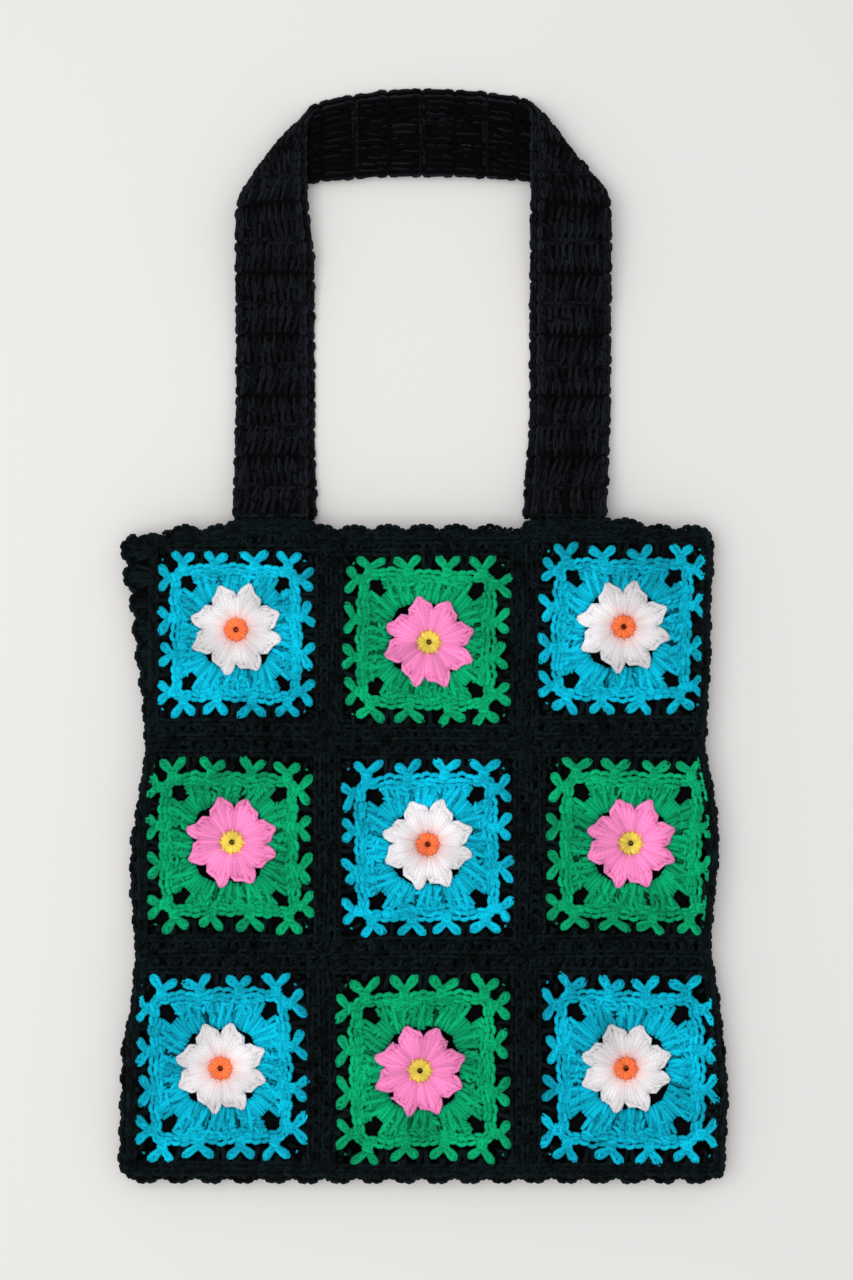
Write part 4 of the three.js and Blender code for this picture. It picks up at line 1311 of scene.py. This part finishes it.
class Strap:
    """The surface that a strap's middle follows, from one mouth over both folds to the other."""

    def __init__(self, name):
        front, back = Panel("front"), Panel("back")
        first = name == "front"
        lowest = FLOOR_SEAT + STRAP / 2
        upper = lowest + STRAP + STRAP_SEAT
        self.inset = 0.0 if first else STRAP_INSET
        self.radius = OUTER_RADIUS if first else FOLD_RADIUS
        self.mouth = (front if first else back).base + KNIT / 2
        self.floor, self.crown = (upper, lowest) if first else (lowest, upper)
        self.start = box_mm(f"{name}_strap")[0][1]
        top = self.start - STRAP_START + STRAP_RISE - SOLID_ARC
        self.crease = top - STRAP_WIDTH / 2 - math.pi * OUTER_RADIUS * DIAGONAL
        self.leg_x = -STRAP_SPAN / 2 + self.inset
        self.leg_run = self.crease + self.inset - STRAP_WIDTH / 2 - FOLD_RUN - self.start
        self.bend = math.sqrt(2) * math.pi * self.radius
        self.half = self.crease + self.inset - self.start - self.leg_x + math.pi * self.radius * DIAGONAL

    def lay(self, points):
        """Points (across, along, height over the middle) put on the strap. The front looks up on the legs."""
        points = np.asarray(points, float)
        side, along, lift = points[..., 0], points[..., 1], points[..., 2]
        mirror = along > self.half
        run = np.where(mirror, 2 * self.half - along, along)
        leg = self.crease + self.inset + side - self.start
        turn = np.clip((run - leg) / self.bend, 0, 1) * math.pi
        share = run / self.leg_run
        level = np.interp(share, LEG_SHARES, LEG_MOUTH) * self.mouth
        level += np.interp(share, LEG_SHARES, LEG_FLOOR) * self.floor
        level += np.interp(share, LEG_SHARES, LEG_FOLD) * (self.crown + 2 * self.radius)
        level -= self.radius * (1 - np.cos(turn))
        x = self.leg_x + side + DIAGONAL * self.radius * (turn - np.sin(turn))
        y = self.start + np.minimum(run, leg) + DIAGONAL * self.radius * (turn + np.sin(turn))
        x = x + np.maximum(run - leg - self.bend, 0) - DIAGONAL * np.sin(turn) * lift
        y = y + DIAGONAL * np.sin(turn) * lift
        x, y = self.give(np.where(mirror, -x, x), y)
        return np.stack([x, y, level + np.cos(turn) * lift], -1)

    def give(self, x, y):
        """How the soft strap lies: its crown bows up, its inner edges draw in, its shoulders round off."""
        left = x < 0
        crown_low = self.crease - STRAP_WIDTH / 2
        share = np.clip((y - crown_low) / STRAP_WIDTH, 0, 1)
        upper = CROWN_ARC * np.maximum(1 - (x / np.where(left, 66, 86)) ** 2, 0)
        lower = CROWN_UNDER * np.maximum(1 - (x / 120) ** 2, 0)
        upper = upper - np.where(left, 4.2, 2.0) * np.exp(-(((np.abs(x) - 61) / 5.5) ** 2))
        reach = np.clip((y - (self.crease - STRAP_WIDTH)) / (STRAP_WIDTH / 2), 0, 1)
        y = y + reach * (lower * (1 - share) + upper * share)
        inner = np.clip(np.minimum((106 - np.abs(x)) / 48, np.abs(x) / 58), 0, 1)
        rise = y - self.start
        drawn_left, drawn_right = (np.interp(rise, *zip(*rows)) for rows in (DRAWN_LEFT, DRAWN_RIGHT))
        x = x + inner * np.where(left, -drawn_left, drawn_right)
        # the whole handle lies a little to the right
        x = x + np.clip(rise / 60, 0, 1) * (1.5 + 1.4 * np.clip(x / 60, 0, 1))
        outer = np.clip((np.abs(x) - 72) / 30, 0, 1) * np.exp(-(((y - 260) / 12) ** 2))
        return x + outer * np.where(x < 0, 3.8, -2.6), y


def strap_strands(strands, strap, radius):
    """Rows of tall stitches across a strap, with a groove after every second row."""
    chance = strands.chance
    total = 2 * strap.half
    count = int(round(total / 17.3))
    count += count % 2
    height = total / count
    across = (np.arange(10) - 4.5) * 4.2
    between = (np.arange(13) - 6) * 3.3

    def line_up(xs, y, lift):
        """Points at one height along the strap."""
        return np.stack([xs, np.full(len(xs), y), np.full(len(xs), lift)], -1)

    for row in range(count):
        low, high = row * height, (row + 1) * height
        odd = row % 2 == 1
        lean = -2.4 if odd else 3.0
        close_low, close_high = (-0.8, 0.5) if odd else (0.5, -0.8)
        lift_low, lift_high = (0.2, -0.45) if odd else (-0.45, 0.2)
        base = line_up(np.clip(across - lean / 2, -18.6, 18.6), low + close_low, 0.25 + lift_low)
        top = line_up(np.clip(across + lean / 2, -18.6, 18.6), high - close_high, 0.25 + lift_high)
        posts(strands, jitter(strands, base, 0.8), jitter(strands, top, 0.8), radius, spread=1.05,
              turns=1.6, steps=6, base_share=0.8, wrap_at=(0.35, 0.6))
        # strands behind the posts, nearly black with painted shade
        bent = between + chance.uniform(-0.5, 0.5, 13)
        rows = (between, low - 0.8, -0.5), (bent, (low + high) / 2, -0.6), (between, high + 0.8, -0.5)
        back = through(*(line_up(*place) for place in rows))
        strands.add(back, radius * 1.2, 4, taper=(0.9, 1, 1, 0.9), tone=-1.9)
        # chains between the rows: the ones in the grooves sit low and take deep painted shade, the others a
        # little painted shade
        lift, size, tone = (0.5, 0.95, -0.4) if odd else (-0.15, 0.85, -1.8)
        for level in (lift, -0.8):
            line = line_up((-20.3, -10, 0, 10, 20.3), low + 0.1, level)
            chain(strands, jitter(strands, line, 0.3), radius * size, 4.2, width=0.9, steps=3, tone=tone)
        # chains along both edges of the strap, lightened by a painted highlight
        for side in (-1, 1):
            edge = ((19.4, 0.0), (20.9, 0.25), (19.7, 0.5), (21.1, 0.76), (19.4, 1.0))
            line = [(side * (u + chance.uniform(-0.4, 0.4)), low + share * height, 0) for u, share in edge]
            chain(strands, line, radius * 1.05, 5.8, width=0.9, tone=0.5)


class CrochetStraps(bpy.types.Operator):
    """Crochets the two straps, which lie folded over at the corners of the crown"""

    bl_idname = "crochet_bag.straps"
    bl_label = "Straps"

    def execute(self, context):
        for seed, name in enumerate(PANELS):
            strap = Strap(name)
            strands = Strands(600 + seed)
            strap_strands(strands, strap, context.scene.bag_sizes.strap / MM)
            strands.moved(strap.lay)
            finish_yarn(strands, f"{name}_strap", "strap")
        return {"FINISHED"}


# the lining
LINING_UNDER = 8.0  # from the crests of the mouth down to the lining's top (mm)
LINING_INSIDE = 5.5  # from the crests of the edging in to the lining's sides (mm)
LINING_FOLD = 0.012  # how far in from its edges the pocket is full (m)
LAYER_GAP = 0.00015


class SewLining(bpy.types.Operator):
    """Sews the lining: one length of cloth, folded at the bottom and seamed at both sides"""

    bl_idname = "crochet_bag.lining"
    bl_label = "Lining"

    def execute(self, context):
        sizes = context.scene.bag_sizes
        low, high = (np.array(c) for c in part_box("lining"))
        width, height = high[0] - low[0], high[1] - low[1]
        middle, depth = (low[2] + high[2]) / 2, (high[2] - low[2]) / 2 - sizes.lining
        cloth = bmesh.new()
        bmesh.ops.create_grid(cloth, x_segments=32, y_segments=64, size=0.5)
        bmesh.ops.scale(cloth, vec=(width, 2 * height, 1), verts=cloth.verts)
        for v in cloth.verts:
            side, fold = v.co.x, v.co.y
            layer = 1 if fold >= 0 else -1
            top = min(high[1], (float(mouth_line(side / MM)) - LINING_UNDER) * MM)
            y = low[1] + abs(fold) * (top - low[1]) / height
            limit = (abs(float(rim_x(1 if side > 0 else -1, y / MM))) - LINING_INSIDE) * MM
            side *= min(limit / (width / 2), 1.0)
            edge = min((width / 2 - abs(side)) / LINING_FOLD, abs(fold) / LINING_FOLD, 1.0)
            puff = math.sqrt(max(1 - (1 - edge) ** 2, 0.0))
            ripple = noise.noise(Vector((side * 18, y * 11, layer * 3.0))) * sizes.wrinkle * puff
            lift = depth * puff - abs(ripple) + LAYER_GAP
            v.co = Vector(((low[0] + high[0]) / 2 + side, y, middle + layer * lift))
        mesh = bpy.data.meshes.new("lining_cloth")
        cloth.to_mesh(mesh)
        cloth.free()
        mesh.materials.append(cloth_material("lining_weave", context.scene.bag_colours.lining))
        mesh.polygons.foreach_set("use_smooth", [True] * len(mesh.polygons))
        piece = bpy.data.objects.new("lining_pocket", mesh)
        context.scene.collection.objects.link(piece)
        wall = piece.modifiers.new("Thickness", "SOLIDIFY")
        wall.thickness = sizes.lining
        wall.offset = 0.0
        finish_piece(piece, "lining")
        return {"FINISHED"}


# the stage, in metres
FLOOR_REACH = 3.0
LAMP_SIDE = 1.4
LAMP_PLACE = (-0.46, 0.0, 1.5)
LAMP_COLOUR = (1.0, 0.985, 0.965)
FILL_COLOUR = (1.0, 0.995, 0.99, 1)
SENSOR = 36.0  # width of the camera's film, in millimetres


class SetStage(bpy.types.Operator):
    """Lays the pale floor, hangs the soft lights and sets the camera straight above"""

    bl_idname = "crochet_bag.stage"
    bl_label = "Stage"

    def execute(self, context):
        scene, stage = context.scene, context.scene.bag_stage
        ground = bmesh.new()
        bmesh.ops.create_grid(ground, x_segments=1, y_segments=1, size=FLOOR_REACH)
        mesh = bpy.data.meshes.new("floor")
        ground.to_mesh(mesh)
        ground.free()
        floor = bpy.data.objects.new("floor", mesh)
        mesh.materials.append(floor_material("studio_paper", stage.floor))
        scene.collection.objects.link(floor)

        lamp = bpy.data.lights.new("key_light", "AREA")
        lamp.energy, lamp.shape, lamp.size = stage.key, "SQUARE", LAMP_SIDE
        lamp.color = LAMP_COLOUR
        key = bpy.data.objects.new("key_light", lamp)
        key.location = LAMP_PLACE
        key.rotation_euler = (Vector((0, 0, 0)) - key.location).to_track_quat("-Z", "Y").to_euler()
        scene.collection.objects.link(key)

        world = bpy.data.worlds.new("studio")
        scene.world = world
        world.use_nodes = True
        sky = world.node_tree.nodes["Background"]
        sky.inputs["Color"].default_value = FILL_COLOUR
        sky.inputs["Strength"].default_value = stage.fill

        lens = bpy.data.cameras.new("camera")
        lens.lens, lens.sensor_width = stage.lens, SENSOR
        camera = bpy.data.objects.new("camera", lens)
        camera.location = (stage.aside, stage.up, stage.height)
        scene.collection.objects.link(camera)
        scene.camera = camera
        scene.view_settings.view_transform = "Standard"
        return {"FINISHED"}


class BagPanel(bpy.types.Panel):
    """Sizes, colours and the steps that build the bag"""

    bl_idname = "VIEW3D_PT_crochet_bag"
    bl_label = "Crochet Bag"
    bl_space_type = "VIEW_3D"
    bl_region_type = "UI"
    bl_category = "Crochet Bag"

    def draw(self, context):
        layout, scene = self.layout, context.scene
        for settings in (scene.bag_sizes, scene.bag_colours, scene.bag_stage):
            box = layout.box()
            for name in settings.bl_rna.properties.keys():
                if name not in ("rna_type", "name"):
                    box.prop(settings, name)
        for step in STEPS:
            layout.operator(step.bl_idname)


STEPS = (
    SetStage,
    SewLining,
    CrochetSquares,
    CrochetFlowers,
    CrochetNets,
    CrochetEdging,
    CrochetStraps,
)
CLASSES = (YarnSizes, YarnColours, StageSettings, *STEPS, BagPanel)


def register():
    for item in CLASSES:
        bpy.utils.register_class(item)
    bpy.types.Scene.bag_sizes = bpy.props.PointerProperty(type=YarnSizes)
    bpy.types.Scene.bag_colours = bpy.props.PointerProperty(type=YarnColours)
    bpy.types.Scene.bag_stage = bpy.props.PointerProperty(type=StageSettings)


def unregister():
    for name in ("bag_sizes", "bag_colours", "bag_stage"):
        delattr(bpy.types.Scene, name)
    for item in reversed(CLASSES):
        bpy.utils.unregister_class(item)


def main():
    register()
    bpy.ops.crochet_bag.stage()
    bpy.ops.crochet_bag.lining()
    bpy.ops.crochet_bag.squares()
    bpy.ops.crochet_bag.flowers()
    bpy.ops.crochet_bag.nets()
    bpy.ops.crochet_bag.edging()
    bpy.ops.crochet_bag.straps()
    bpy.context.view_layer.update()


if __name__ == "__main__":
    main()
